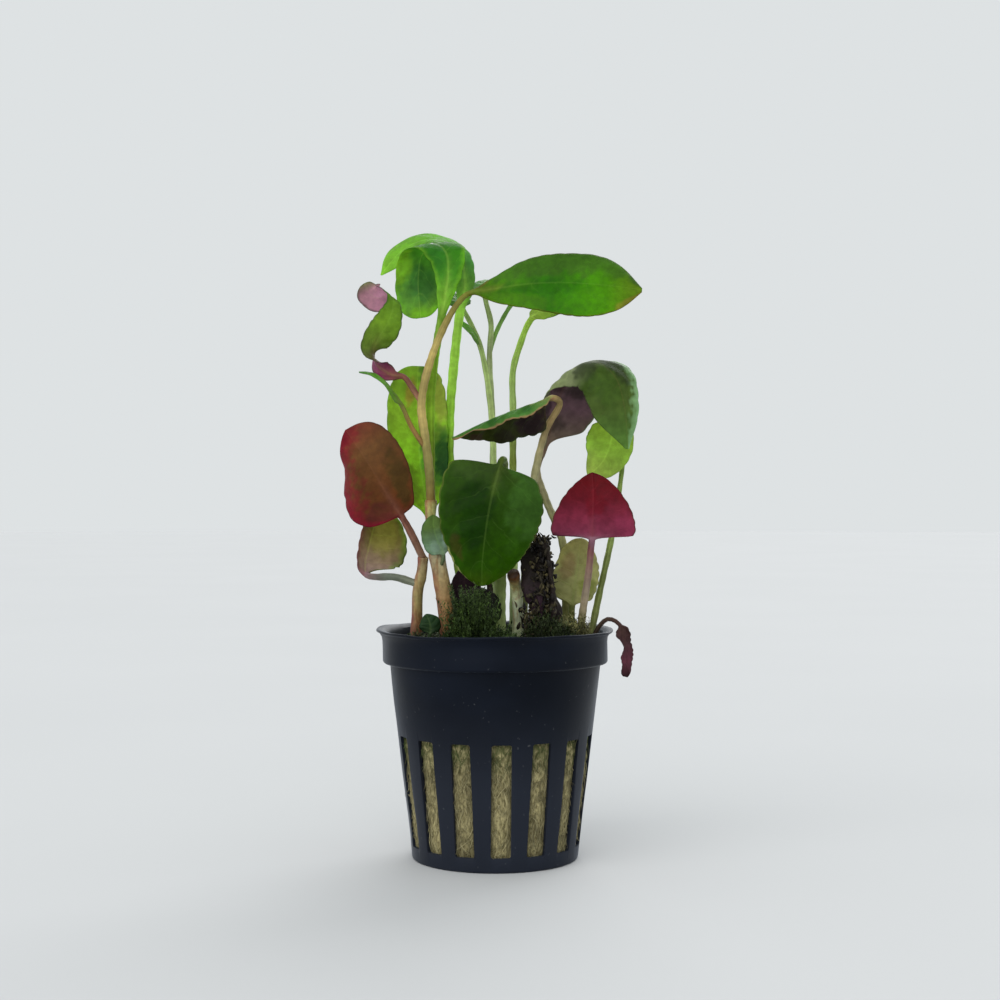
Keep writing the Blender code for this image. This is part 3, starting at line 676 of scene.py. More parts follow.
def leaf(name, points, start, near, far, faces, skin, upper, lower=None, stalk=None, fold=(0, 0),
         curl=(0, 0), lobe=(0, 0), wave=(0.0, 2.0, 0.0), radii=(0.8, 0.6), ridge=0.35, edge=False,
         teeth=(9, 0.22), pairs=6, rise=0.22, quilt=0.12, rims=(), patches=(), wobble=0.15,
         across=36, step=0.36, seed=1, on=None, blunt=0.0):
    """Leaf in one piece: a round petiole up to point number start, then the blade.

    near and far are the half widths on the two sides, far like near where it is None, and
    faces are the ways its upper side looks. A leaf that winds about has edge, where faces is
    the way of its far margin. In pairs of a near and a far side, fold is the rise at the
    midrib, curl the rise on towards the margin, both as angles, and lobe how far the blade
    reaches back past the petiole. wave is the height, number and start of the margin's waves.
    teeth are a number and a depth, pairs the number of side veins, rise their slant, quilt
    the swell between them, wobble the unevenness of the blade, and ridge the midrib's height.
    upper, lower and stalk are the tones along it, rims and patches the tones laid over them.
    A shoot is made one piece with the leaf that it grows on."""
    places, ts, length = leaf_stations([at(p) for p in points], start, step)
    tangents = unit(np.gradient(places, axis=0))
    ways = upper_ways(places, tangents, ts, faces, edge)
    s = np.linspace(-1, 1, across + 1)
    sign = np.sign(s)
    size = abs(s)
    turn = np.pi - np.pi * (s + 1) / 2
    shift = np.random.default_rng(seed).uniform(0, 6.28, 8)
    spacing = length / pairs * 0.72

    def by_side(pair, t):
        return np.where(s >= 0, along(pair[1], t), along(pair[0], t))

    high_rows = []
    low_rows = []
    blade_rows = []
    rib_rows = []
    for place, tangent, way, place_t in zip(places, tangents, ways, ts):
        t = max(place_t, 0.0)
        side = np.cross(tangent, way)
        flat = eased(min(t / FLAT_FROM, 1.0))
        radius = radii[-1]
        if place_t < 0:
            radius = along(radii, place_t + 1) * (1 + 0.05 * math.sin(9 * place_t * len(points) + shift[0])
                                                  + 0.03 * math.sin(31 * place_t + shift[1]))
        half = by_side((margin(near, t, teeth, blunt, (shift[2], shift[4])),
                        margin(far or near, t, teeth, blunt, (shift[3], shift[5]))), t)
        tilt = flat * by_side(fold, t)
        bend = flat * size * by_side(curl, t)
        bent = np.where(abs(bend) < 1e-4, 1e-4, bend)
        out = (np.sin(tilt + bent) - np.sin(tilt)) / bent
        up = (np.cos(tilt) - np.cos(tilt + bent)) / bent
        normal = unit(-(np.sin(tilt + bend) * np.tanh(s * 9))[:, None] * side
                      + np.cos(tilt + bend)[:, None] * way)
        reach = (1 - flat) * abs(np.cos(turn)) * radius + flat * size * half
        back = flat * by_side(lobe, t) * (1 - t) ** 3 * size ** 1.5
        phase = (0.5 + pairs * (t - rise * size ** 1.15 * (1 - 0.35 * t))
                 + 0.12 * sign * np.minimum(size * 5, 1) + 0.10 * np.sin(3.1 * s + 5 * t + shift[6]))
        swell = 0.5 - 0.5 * np.cos(FULL_TURN * (phase + 0.5))
        lift = flat * (wave[0] * s * s * np.sin(FULL_TURN * wave[1] * place_t + wave[2] + 1.3 * sign)
                       + quilt * swell * np.sin(np.pi * size) ** 0.7 * (1 - t ** 4)
                       + wobble * (np.sin(2.3 * s + 7 * t + shift[7]) * size
                                   + 0.5 * np.sin(5.1 * s - 11 * t + shift[0]) * size ** 2))
        middle = (place + (reach * out * sign)[:, None] * side + (reach * up)[:, None] * way
                  + lift[:, None] * normal - back[:, None] * tangent)
        off = size * half
        rib = ridge * (1 - 0.8 * t) * np.exp(-(off / (MIDRIB_WIDTH - 0.2 * t)) ** 2)
        groove = GROOVE_DEPTH * (1 - 0.6 * t) * np.exp(-(off / GROOVE_WIDTH) ** 2)
        thin = BLADE / 2 * np.sqrt(np.maximum(1 - size ** 4, 0)) * (1 - 0.35 * t)
        raised = VEIN_HEIGHT * (1 - swell) ** 3 * (1 - size)
        round_part = (1 - flat) * np.sin(turn) * radius
        high_rows.append(middle + (round_part + flat * (thin - groove))[:, None] * normal)
        low_rows.append(middle - (round_part + flat * (thin + rib + raised))[:, None] * normal)
        blade_rows.append(np.stack((s, np.full_like(s, place_t), half), axis=1))
        rib_rows.append(np.stack((phase, np.full_like(s, spacing), np.ones_like(s)), axis=1))
    under = np.array(rib_rows)[:, -2:0:-1] * (1, 1, -1)
    rib = np.concatenate((rib_rows, under), axis=1)
    rib[:, (0, across), 2] = 0.0
    blade = np.concatenate((blade_rows, np.array(blade_rows)[:, -2:0:-1]), axis=1)
    rows = np.concatenate((high_rows, np.array(low_rows)[:, -2:0:-1]), axis=1)
    tones = leaf_tones(rows, blade, rib, upper, lower or upper, stalk, rims, patches, seed)
    made = wrap(rows, {"blade": blade, "rib": rib}, tones)
    if on:
        made.data.materials.append(skin)
        return joined((made,), on)
    return finish_piece(made, name.replace("leaf_", "") + "_leaf", skin, name)


def leaf_tones(rows, blade, rib, upper, lower, stalk, rims, patches, seed):
    """Tone of each point: along the leaf, by its side, then rims and patches laid over."""
    s, t, half = blade[..., 0], blade[..., 1], blade[..., 2]
    side = rib[..., 2]
    off_rib = abs(s) * half
    share = np.clip((side + 1) / 2, 0, 1)[..., None]
    tone = ramp(upper, t) * share + ramp(lower, t) * (1 - share)
    if stalk:
        fade = np.clip(1 - t / 0.10, 0, 1) * (0.4 + 0.6 * np.exp(-(off_rib / 1.6) ** 2))
        near_rib = np.exp(-(off_rib / 0.8) ** 2) * np.clip(1 - t / 0.45, 0, 1)
        share = np.where(t < 0, 1.0, np.maximum(fade, near_rib * 0.7))[..., None]
        tone = tone * (1 - share) + ramp(stalk, t) * share
    fibre = ripple(np.stack((s * 3.0, t * 1.5, side * 2.0), axis=-1), 1.5, seed + 42)
    tone = tone * (1 + 0.16 * fibre * (t < 0))[..., None]
    uneven = ripple(rows, 5.0, seed + 40)
    small = ripple(rows, 1.7, seed + 41)

    def seen_on(on):
        """Share of a tone that lies on one side: on is 1 for the upper, -1 for the under, 0 for both."""
        return np.clip(on * side + 0.5, 0, 1) if on else 1.0

    for where, colour, width, strength, on in rims:
        mask = np.clip(1 - (1 - abs(s)) * half / (width * (1 + 0.35 * small)), 0, 1) ** 0.8 * strength
        mask = mask * (t > 0) * (np.clip(where * s * 4, 0, 1) if where else 1.0)
        tone = laid_over(tone, colour, mask * seen_on(on))
    for t0, s0, rt, rs, colour, strength, on in patches:
        far = ((t - t0) / rt) ** 2 + ((s - s0) / rs) ** 2
        mask = eased(np.clip(1.35 - far * (1 + 0.35 * uneven) + 0.25 * small, 0, 1)) * strength
        tone = laid_over(tone, colour, mask * seen_on(on))
    return tone


leaf("leaf_top_right",
     [(431, 504, -10.5), (429, 468, -10), (425.5, 440, -9.2), (421.5, 402, -8.5),
      (432, 356, -8), (448, 319, -8), (459, 302, -8.3), (468, 294, -8.8), (495, 289, -9.8),
      (530, 284, -11), (570, 283, -12), (610, 286, -12.5), (642, 290, -12)],
     7, (0.7, 2.3, 4.1, 6.0, 7.2, 7.7, 7.9, 8.0, 7.3, 5.1, 0.6),
     (0.7, 2.2, 4.1, 5.5, 6.6, 7.5, 8.1, 8.1, 7.1, 4.8, 0.6), [(0, -0.9, 0.45)], GREEN_SKIN,
     [(0.0, (96, 138, 20)), (0.15, (74, 130, 4)), (0.45, (54, 126, 0)), (0.8, (74, 138, 2)),
      (1.0, (116, 150, 26))],
     [(0.0, (120, 140, 60)), (1.0, (100, 140, 70))],
     [(-1.0, (140, 114, 62)), (-0.86, (150, 146, 84)), (-0.6, (190, 172, 110)), (-0.3, (172, 158, 98)),
      (-0.12, (150, 138, 76)), (0.0, (134, 138, 56))],
     fold=(0.10, 0.10), curl=(-0.3, -0.3), radii=(0.95, 0.95, 0.9, 0.8, 0.6), teeth=(11, 0.14), pairs=6,
     rise=0.34, quilt=0.13,
     rims=[(0, (120, 96, 30), 0.35, 0.7, 0), (-1, (84, 116, 44), 1.2, 0.4, 1)],
     patches=[(-0.55, -1.0, 0.45, 0.7, (184, 130, 104), 0.6, 0),
              (-0.1, -1.0, 0.16, 0.7, (150, 104, 60), 0.5, 0),
              # The greyish olive patch over the upper half (0.52, -0.8) is painted sheen.
              (0.52, -0.8, 0.6, 0.55, (66, 108, 26), 0.85, 1),
              (0.06, -0.8, 0.10, 0.4, (130, 112, 44), 0.6, 1),
              (0.42, 0.15, 0.26, 0.3, (40, 108, 0), 0.6, 1), (0.95, 0.95, 0.10, 0.25, (150, 130, 50), 0.6, 1),
              (0.3, 0.75, 0.22, 0.35, (84, 136, 20), 0.5, 1)],
     across=44, seed=3)
leaf("leaf_centre",
     [(500, FOOT, -2), (500, 600, -2), (501, 545, -2.5), (503, 492, -4), (504, 468, -7),
      (503, 460, -11), (500, 465, -14.2), (496, 480, -16.2), (491, 500, -17), (487, 522, -17),
      (484, 545, -16.6), (482, 566, -15.6), (482, 586, -14.5)],
     6, (3.0, 8.0, 10.2, 11.3, 11.4, 11.1, 10.3, 9.2, 7.8, 5.8, 0.8),
     (4.6, 9.6, 11.2, 11.4, 11.3, 10.7, 9.7, 8.3, 6.6, 4.4, 0.8), [(0, -1, 0.15)], DARK_SKIN,
     [(0.0, (46, 68, 20)), (0.25, (34, 62, 6)), (0.6, (32, 64, 0)), (0.85, (36, 72, 0)),
      (1.0, (58, 84, 8))],
     [(0.0, (90, 100, 60)), (1.0, (96, 116, 70))],
     [(-1.0, (196, 210, 146)), (-0.85, (186, 206, 136)), (-0.7, (150, 170, 100)),
      (-0.2, (110, 130, 60)), (0.0, (78, 94, 36))],
     fold=(-0.06, -0.06), curl=(-0.25, -0.25), lobe=(2.9, 3.4), radii=(1.3, 1.3, 1.1, 0.8), teeth=(11, 0.36),
     pairs=5, rise=0.4, quilt=0.3, wobble=0.3, blunt=0.25,
     rims=[(0, (52, 92, 14), 1.2, 0.3, 1), (0, (120, 136, 60), 0.22, 0.7, 0)],
     # The greyish-green patches on its right side (0.3, -0.75) and near its base (0.08, 0.5) are painted
     # sheen.
     patches=[(0.45, 0.25, 0.30, 0.34, (18, 48, 0), 0.85, 1), (0.3, -0.75, 0.34, 0.45, (52, 86, 28), 0.85, 1),
              (0.78, -0.5, 0.22, 0.35, (40, 78, 0), 0.7, 1), (0.08, 0.5, 0.12, 0.6, (50, 74, 24), 0.7, 1),
              (0.62, 0.2, 0.14, 0.2, (18, 50, 0), 0.6, 1), (0.86, 1.0, 0.14, 0.05, (190, 190, 120), 0.9, 1),
              (0.72, 0.7, 0.09, 0.16, (62, 56, 20), 0.6, 1)],
     across=48, seed=5)
leaf("leaf_edge_on",
     [(524, FOOT, 1), (524, 600, 1), (527, 550, 1.5), (534, 480, 2), (546, 430, 0.5), (560, 403, -2),
      (553, 398, -4), (538, 402, -5), (515, 410, -6.5), (485, 422, -8), (452, 438, -8.5)],
     6, (3.6, 0.4, 0.6), (2.5, 6.8, 7.8, 7.6, 7.2, 7.0, 6.6, 5.8, 4.4, 2.6, 0.4), [(0, -0.1, 1)], DARK_SKIN,
     [(0.0, (130, 156, 84)), (0.25, (72, 118, 52)), (0.7, (66, 112, 44)), (1.0, (70, 112, 48))],
     [(0.0, (70, 62, 44)), (0.3, (52, 56, 26)), (0.8, (56, 64, 24)), (1.0, (66, 80, 34))],
     [(-1.0, (118, 128, 80)), (-0.6, (150, 152, 110)), (-0.3, (168, 162, 122)), (-0.15, (160, 138, 96)),
      (0.0, (168, 146, 96))],
     fold=(-0.3, (-0.95, -0.95, -0.5)), curl=(-0.25, (-0.45, -0.45, -0.1)), wave=(0.5, 3.0, 0.0),
     radii=(0.95, 0.9, 0.7), teeth=(11, 0.4), pairs=6, rise=0.3, quilt=0.45,
     rims=[(-1, (168, 118, 92), 0.45, 0.8, 0)],
     # The pale teal-green patches at 0.16, 0.47 and 0.78 along it are painted highlights on its top.
     patches=[(0.30, -0.3, 0.07, 0.5, (40, 84, 34), 0.7, 1), (0.47, 0.3, 0.06, 0.5, (104, 156, 92), 0.7, 1),
              (0.62, -0.3, 0.06, 0.5, (40, 84, 30), 0.7, 1), (0.16, 0.2, 0.05, 0.5, (112, 158, 96), 0.6, 1),
              (0.78, 0.2, 0.06, 0.5, (100, 150, 80), 0.6, 1), (0.35, -0.6, 0.08, 0.3, (96, 104, 60), 0.6, -1),
              (0.25, 0.7, 0.16, 0.4, (44, 26, 36), 0.8, -1), (0.55, 0.8, 0.1, 0.3, (40, 34, 28), 0.7, -1),
              (0.8, 0.75, 0.08, 0.3, (72, 44, 44), 0.6, -1)],
     across=44, seed=7)
leaf("leaf_arched",
     [(566, FOOT, 5), (566, 600, 6), (562, 540, 8), (546, 500, 10), (537, 470, 9.8),
      (544, 448, 8.8), (554, 416, 7.2), (563, 386, 5), (577, 367, 1.4), (596, 362, -2.6),
      (615, 377, -5.4), (624, 405, -6.8), (628, 449, -6.5)],
     5, (2.5, 8.4, 10.0, 9.2, 7.4, 5.4, 3.8, 0.4), (1.5, 4.4, 6.4, 7.6, 8.0, 8.0, 6.6, 0.5),
     [(-0.4, 0.9, 0.4), (-0.3, 0.6, 0.7), (0, -0.3, 1), (0.4, -1, 0.3), (0.4, -1, 0)],
     MAROON_SKIN,
     [(0.0, (88, 104, 54)), (0.25, (120, 132, 84)), (0.45, (136, 146, 104)), (0.6, (68, 92, 34)),
      (0.8, (72, 92, 38)), (1.0, (92, 132, 56))],
     [(0.0, (124, 112, 92)), (0.2, (116, 88, 98)), (0.42, (102, 80, 84)), (0.7, (80, 60, 58)),
      (1.0, (84, 84, 56))],
     [(-1.0, (116, 118, 66)), (-0.5, (156, 154, 110)), (-0.2, (172, 166, 128)), (0.0, (140, 112, 96))],
     fold=(-0.1, -0.1), curl=(-0.35, (-0.3, -0.6, -1.1, -1.1, -0.5, -0.3)), radii=(0.95, 0.9, 0.8),
     teeth=(12, 0.35), pairs=7, rise=0.26, quilt=0.28,
     rims=[(-1, (146, 194, 134), 2.9, 0.8, 1), (1, (112, 130, 88), 3.2, 0.75, -1)],
     patches=[(0.52, 0.4, 0.07, 0.35, (52, 60, 38), 0.7, 1), (0.62, -0.3, 0.10, 0.35, (42, 50, 28), 0.7, 1),
              (0.72, 0.35, 0.10, 0.4, (60, 88, 28), 0.6, 1), (0.38, -0.6, 0.05, 0.25, (62, 70, 44), 0.6, 1),
              (0.34, 0.2, 0.08, 0.3, (58, 34, 46), 0.7, -1), (0.2, 0.55, 0.06, 0.25, (64, 40, 56), 0.7, -1),
              (0.12, 0.1, 0.05, 0.5, (50, 44, 38), 0.6, -1), (0.44, 0.6, 0.07, 0.3, (128, 136, 96), 0.6, -1),
              (0.3, -0.4, 0.06, 0.3, (50, 44, 40), 0.6, -1)],
     across=44, seed=9)
leaf("leaf_bright_right",
     [(590, FOOT, 5), (598, 600, 7), (613, 530, 9.5), (623, 460, 11.8), (625, 420, 11.8),
      (619, 406, 9.6), (613, 418, 7.8), (611, 441, 7), (603, 461, 6.4), (588, 476, 5.8)],
     6, (5.6, 0.4, 0.7), None, [(0.2, -1, 0.1)], BRIGHT_SKIN,
     [(0.0, (150, 176, 62)), (0.5, (160, 192, 80)), (1.0, (182, 200, 104))], None,
     [(-1.0, (134, 140, 90)), (-0.5, (150, 165, 100)), (0.0, (130, 160, 70))],
     curl=(-0.3, -0.3), radii=(0.8, 0.7, 0.55, 0.5), teeth=(6, 0.2), pairs=5, across=28, seed=11)
leaf("leaf_crimson",
     [(579, FOOT, -5), (583, 610, -7), (589, 570, -9), (591, 548, -10.5), (592, 540, -11.3),
      (592.5, 522, -12.5), (593, 505, -13), (593, 488, -12.6), (592, 472.5, -11.5)],
     4, (9.4, 0.2, 0.75), (9.2, 0.2, 0.75), [(0, 1, 0.1)], RED_SKIN,
     [(0.0, (96, 84, 50)), (0.5, (84, 92, 44)), (1.0, (100, 70, 44))],
     [(0.0, (136, 84, 104)), (0.12, (126, 52, 76)), (0.35, (130, 44, 66)), (0.6, (106, 24, 36)),
      (0.85, (100, 12, 20)), (1.0, (96, 18, 26))],
     [(-1.0, (132, 128, 80)), (-0.5, (158, 144, 124)), (0.0, (120, 60, 70))],
     fold=(-0.05, -0.05), curl=(-0.35, -0.35), radii=(0.9, 0.8, 0.7), teeth=(7, 0.25), pairs=4,
     rise=0.3, quilt=0.12,
     rims=[(0, (78, 14, 26), 0.5, 0.5, 0)],
     patches=[(0.0, 0.0, 0.07, 1.3, (150, 116, 130), 0.6, -1), (0.06, 0.95, 0.10, 0.2, (50, 24, 34), 0.7, -1),
              (0.55, -0.1, 0.2, 0.3, (116, 16, 30), 0.6, -1), (0.2, -0.8, 0.2, 0.3, (140, 50, 80), 0.5, -1)],
     across=44, seed=13)
leaf("leaf_maroon",
     [(423.5, 559, -8.0), (411, 533, -9), (402, 517, -9.6), (388, 495, -10.8), (374, 472, -11),
      (360, 450, -9.8), (346, 430, -7.5)],
     2, (7.9, 0.7, 0.5), (2.5, 10.5, 12.0, 12.0, 10.5, 7.0, 0.3), [(0.15, 1, 0.1)], MAROON_SKIN,
     [(0.0, (100, 80, 50)), (1.0, (92, 74, 44))],
     [(0.0, (108, 48, 28)), (0.25, (100, 58, 28)), (0.7, (104, 70, 38)), (1.0, (112, 50, 38))],
     [(-1.0, (140, 112, 92)), (0.0, (128, 82, 68))],
     fold=(0.05, 0.1), curl=(-0.1, (0.2, 0.5, 0.9, 1.1, 0.3)), lobe=(2.2, 2.2),
     radii=(0.85, 0.8, 0.75), teeth=(8, 0.15), pairs=5, blunt=0.3, rise=0.3, quilt=0.1,
     rims=[(1, (122, 12, 40), 8.5, 0.95, 0), (-1, (84, 40, 28), 0.5, 0.6, 0)],
     patches=[(0.3, -0.6, 0.22, 0.35, (76, 58, 24), 0.8, -1), (0.97, 0.1, 0.12, 0.9, (112, 24, 34), 0.7, -1),
              (0.12, 0.4, 0.14, 0.4, (86, 46, 34), 0.7, -1)],
     across=44, seed=17)
leaf("leaf_lower_left",
     [(418.5, 584, -7.0), (394, 577, -6.2), (377, 577, -5.6), (367, 575, -4.4), (365, 564, -2.4),
      (369, 546, -0.2), (374, 526, 1.6), (380, 506, 3)],
     3, (3.6, 0.3, 0.5), (8.4, 0.4, 0.45), [(0.1, -1, 0.2)], BRIGHT_SKIN,
     [(0.0, (168, 146, 136)), (0.3, (164, 146, 116)), (0.6, (146, 138, 78)), (1.0, (124, 130, 52))],
     [(0.0, (140, 92, 100)), (1.0, (124, 84, 80))],
     [(-1.0, (138, 142, 122)), (-0.4, (142, 150, 134)), (0.0, (150, 120, 124))],
     fold=((0.4, 0.4, 0.1), 0.0), curl=((1.0, 1.0, 0.2), -0.2), radii=(0.85, 0.8, 0.7), teeth=(8, 0.35),
     pairs=5, quilt=0.12,
     rims=[(1, (120, 168, 60), 1.7, 0.6, 0), (-1, (144, 88, 96), 2.0, 0.7, 0)],
     patches=[(0.65, 0.3, 0.3, 0.5, (150, 150, 70), 0.6, 0)],
     across=32, seed=19)
leaf("leaf_behind_stem",
     [(433, 530, -9.9), (429, 519, -5.5), (426, 500, -3.5), (421, 470, -0.5), (418, 430, 2),
      (417, 400, 2.5), (418, 366, 2)],
     1, (0.7, 2.9, 4.9, 5.9, 6.3, 6.6, 6.8, 6.8, 6.5, 5.5, 1.2), None, [(0.1, -1, 0.2)], BRIGHT_SKIN,
     [(0.0, (160, 196, 54)), (0.3, (150, 196, 50)), (0.7, (154, 190, 60)), (1.0, (140, 176, 60))], None,
     [(-1.0, (130, 150, 80)), (0.0, (130, 165, 60))],
     fold=(0.05, 0.05), curl=(0.2, 0.2), radii=(0.7, 0.7), teeth=(9, 0.25), pairs=6, rise=0.3,
     blunt=0.8,
     rims=[(0, (138, 190, 60), 0.7, 0.4, 0)],
     # The dark teal patches about 0.4 along its far side are painted shadow of the leaves in front of it.
     patches=[(0.40, 0.6, 0.24, 0.6, (70, 140, 56), 0.7, 0), (0.36, 1.0, 0.17, 0.5, (34, 84, 40), 0.85, 0),
              (0.50, 0.8, 0.10, 0.3, (60, 110, 40), 0.6, 0),
              (0.8, 0.8, 0.2, 0.3, (170, 176, 84), 0.7, 0), (0.6, 0.3, 0.1, 0.4, (130, 170, 50), 0.6, 0),
              (0.25, -0.5, 0.14, 0.4, (110, 130, 40), 0.5, 0),
              (0.84, -0.25, 0.10, 0.2, (170, 132, 70), 0.6, 0),
              (0.98, 0.4, 0.08, 0.5, (84, 124, 48), 0.7, 0)],
     across=36, seed=23)
leaf("leaf_small_teal",
     [(441, 566, -11.4), (443.5, 555, -13.3), (438, 542, -13.6), (434, 529, -13.6), (433, 515, -13.2)],
     1, (3.2, 0.4, 0.6), None, [(0, -1, 0.1)], GREEN_SKIN,
     # Its pale greyish tones near the base and the two whitish patches are painted sheen.
     [(0.0, (130, 154, 130)), (0.3, (108, 136, 108)), (0.7, (84, 108, 52)), (1.0, (84, 110, 48))], None,
     [(-1.0, (120, 128, 90)), (0.0, (110, 130, 95))],
     curl=(0.2, 0.2), radii=(0.4, 0.4), teeth=(5, 0.15), pairs=4, across=24, step=0.25, seed=29,
     rims=[(-1, (60, 96, 54), 0.5, 0.6, 0)],
     patches=[(0.3, 0.6, 0.2, 0.4, (150, 172, 160), 0.6, 1),
              (0.25, -0.3, 0.14, 0.35, (128, 152, 134), 0.5, 1)])
leaf("leaf_curled",
     [(420.5, 401, -8.4), (411, 386, -7), (404, 377, -6.6), (393, 375, -6.4), (380, 367, -7),
      (373, 353, -8.2), (377, 340, -9.6), (386, 326, -10.2), (392, 311, -9.8), (393, 299, -8),
      (387, 295, -5.8), (378, 298, -5.2), (369, 293, -5.8), (365, 283, -6.6)],
     2, (0.9, 1.7, 2.1, 2.6, 3.2, 3.5, 3.2, 2.5, 1.6, 1.8, 3.0, 2.8, 0.6), None,
     [(0.1, 0, -1), (0.1, 0.3, -1), (0.2, 0.8, -0.5), (0.8, 0.5, -0.3), (1, 0.2, -0.1),
      (1, 0.3, 0), (0.5, 0.8, -0.5), (-0.3, 0.2, -1), (-0.3, 0, -1)], GREEN_SKIN,
     [(0.0, (104, 62, 62)), (0.2, (126, 60, 90)), (0.32, (104, 136, 50)), (0.5, (112, 156, 40)),
      (0.7, (90, 132, 32)), (0.85, (84, 124, 32)), (1.0, (84, 120, 36))],
     [(0.0, (124, 74, 66)), (0.15, (130, 60, 92)), (0.3, (174, 116, 146)), (0.6, (190, 132, 162)),
      (0.8, (210, 148, 180)), (0.94, (196, 140, 160)), (1.0, (140, 140, 96))],
     [(-1.0, (164, 122, 96)), (0.0, (146, 96, 80))],
     radii=(0.65, 0.6), ridge=0.2, edge=True, teeth=(13, 0.2), pairs=9, rise=0.12, quilt=0.12, blunt=0.8,
     rims=[(0, (48, 74, 34), 0.45, 0.7, 0)], across=32, step=0.3, seed=31)
leaf("leaf_small_edge",
     [(425, 448, -9.4), (411, 426, -10.3), (402, 406, -10.8), (393, 392, -11), (383, 380, -11.2),
      (371, 373, -11), (359, 372, -10.6)],
     2, (2.0, 0.4, 0.6), (1.6, 0.4, 0.6), [(0.3, -0.4, 0.9)], GREEN_SKIN,
     [(0.0, (110, 140, 60)), (0.5, (92, 152, 40)), (1.0, (82, 140, 50))],
     [(0.0, (120, 100, 110)), (1.0, (124, 106, 116))],
     [(-1.0, (150, 118, 74)), (-0.4, (152, 122, 70)), (0.0, (130, 130, 66))],
     fold=(0.0, -0.3), curl=(0.0, -0.2), radii=(0.5, 0.5), teeth=(5, 0.15), pairs=4, across=24,
     step=0.25, seed=37)
leaf("leaf_upper_left",
     [(431.5, 502, -9.8), (431, 455, -6.5), (431, 400, -5.2), (436, 350, -4.6), (441, 320, -4.4),
      (445, 296, -4.4), (448, 274, -4), (447, 256, -3.4), (440, 246, -0.6), (430, 245, 2.6),
      (421, 256, 5.2), (418, 278, 6.4), (419, 300, 6.2), (421, 318, 5)],
     4, (0.9, 1.4, 2.0, 2.8, 3.6, 4.4, 4.8, 5.0, 5.1, 5.2, 5.2, 5.1, 4.4, 1.0), None,
     [(0.1, -1, 0), (0, -1, 0.3), (-0.1, -0.2, 1), (-0.2, 0.7, 0.7), (0, 1, 0.1)], BRIGHT_SKIN,
     [(0.0, (140, 182, 70)), (0.12, (118, 166, 54)), (0.24, (74, 136, 36)), (0.4, (58, 130, 22)),
      (0.6, (96, 160, 44)), (1.0, (84, 140, 40))],
     [(0.0, (130, 160, 70)), (0.4, (110, 170, 50)), (0.6, (92, 152, 50)), (0.85, (100, 150, 66)),
      (1.0, (120, 170, 52))],
     [(-1.0, (132, 160, 50)), (-0.35, (144, 180, 56)), (0.0, (142, 182, 70))],
     fold=(0.05, 0.05), curl=(-0.2, -0.2), radii=(0.85, 0.85, 0.9), teeth=(12, 0.25), pairs=8, rise=0.2,
     blunt=0.75,
     rims=[(0, (126, 182, 48), 1.0, 0.7, 0)],
     patches=[(0.42, -0.4, 0.2, 0.4, (50, 130, 40), 0.5, 1), (1.0, 0.1, 0.07, 1.1, (132, 184, 44), 0.7, 0),
              (0.82, 0.15, 0.10, 0.6, (60, 116, 56), 0.6, 0),
              (0.72, -0.8, 0.12, 0.4, (150, 190, 50), 0.6, 0)],
     across=36, seed=41)
leaf("leaf_upper_far",
     [(470, FOOT, 6), (462, 590, 5.5), (454, 520, 4.5), (449, 440, 4), (454, 363, 3.6),
      (460, 312, 3.6), (465, 287, 4.5), (463, 266, 6), (455, 249, 9), (440, 240, 12),
      (421, 241, 13.5), (402, 251, 13.5), (381, 275, 12)],
     5, (1.0, 2.0, 2.6, 3.0, 3.8, 4.2, 3.4, 0.3), None,
     [(0.1, -1, 0), (0.1, -0.7, 0.7), (0, -0.2, 1), (-0.3, -0.6, 0.8), (-0.3, -0.9, 0.4)], BRIGHT_SKIN,
     [(0.0, (136, 180, 70)), (0.3, (84, 146, 66)), (0.6, (108, 166, 54)), (1.0, (136, 184, 60))], None,
     [(-1.0, (140, 160, 80)), (-0.6, (136, 168, 64)), (-0.3, (164, 200, 84)), (0.0, (166, 204, 92))],
     fold=(0.05, 0.05), curl=(-0.2, -0.2), radii=(1.1, 1.05, 1.0), teeth=(10, 0.25), pairs=7, rise=0.2,
     across=32, seed=43)

# Leaves at the back, with a side shoot on one and a branch on another
BACK_TONES = [(0.0, (110, 150, 70)), (0.5, (84, 138, 60)), (1.0, (96, 144, 60))]
BACK_LEAF = dict(fold=(0.1, 0.1), curl=(-0.3, -0.3), across=24, step=0.3)
back_left = leaf(
     "leaf_back_left",
     [(497, FOOT, 10), (496, 560, 10), (494, 480, 10), (491, 409, 10.3), (479.5, 344, 11),
      (463, 309, 12), (457, 299, 15), (452, 294, 19), (449, 296, 23)],
     5, (3.4, 0.5, 0.6), None, [(0, -0.2, 1)], GREEN_SKIN, BACK_TONES, None,
     [(-1.0, (150, 164, 112)), (-0.6, (186, 204, 144)), (-0.3, (192, 206, 146)), (0.0, (160, 186, 110))],
     radii=(0.9, 0.8, 0.7, 0.55), teeth=(6, 0.2), pairs=5, seed=47, **BACK_LEAF)
leaf("side_shoot",
     [(480.5, 345, 11.1), (474, 334, 9.6), (468, 328, 8.8), (460, 321, 8.8)],
     0, (1.5, 0.5, 0.6), (1.2, 0.5, 0.6), [(0.3, -0.8, 0.5)], GREEN_SKIN,
     [(0.0, (130, 170, 90)), (1.0, (100, 160, 50))], None, None,
     fold=(0.2, -0.3), radii=(0.4, 0.4), ridge=0.15, teeth=(4, 0.1), pairs=4, across=20,
     step=0.25, seed=49, on=back_left)
back_centre = leaf(
     "leaf_back_centre",
     [(489, FOOT, 14), (491, 560, 14), (493, 480, 13.5), (492.5, 424, 13), (489.5, 356, 13),
      (491, 324, 13), (485.5, 299, 13.5), (487, 288, 16), (491, 282, 20), (496, 280, 24)],
     6, (4.0, 0.5, 0.6), None, [(0, -0.2, 1)], GREEN_SKIN, BACK_TONES, None,
     [(-1.0, (150, 164, 118)), (-0.6, (186, 200, 154)), (-0.2, (180, 190, 146)), (0.0, (156, 176, 112))],
     radii=(0.9, 0.8, 0.7, 0.6), teeth=(6, 0.2), pairs=5, seed=53, **BACK_LEAF)
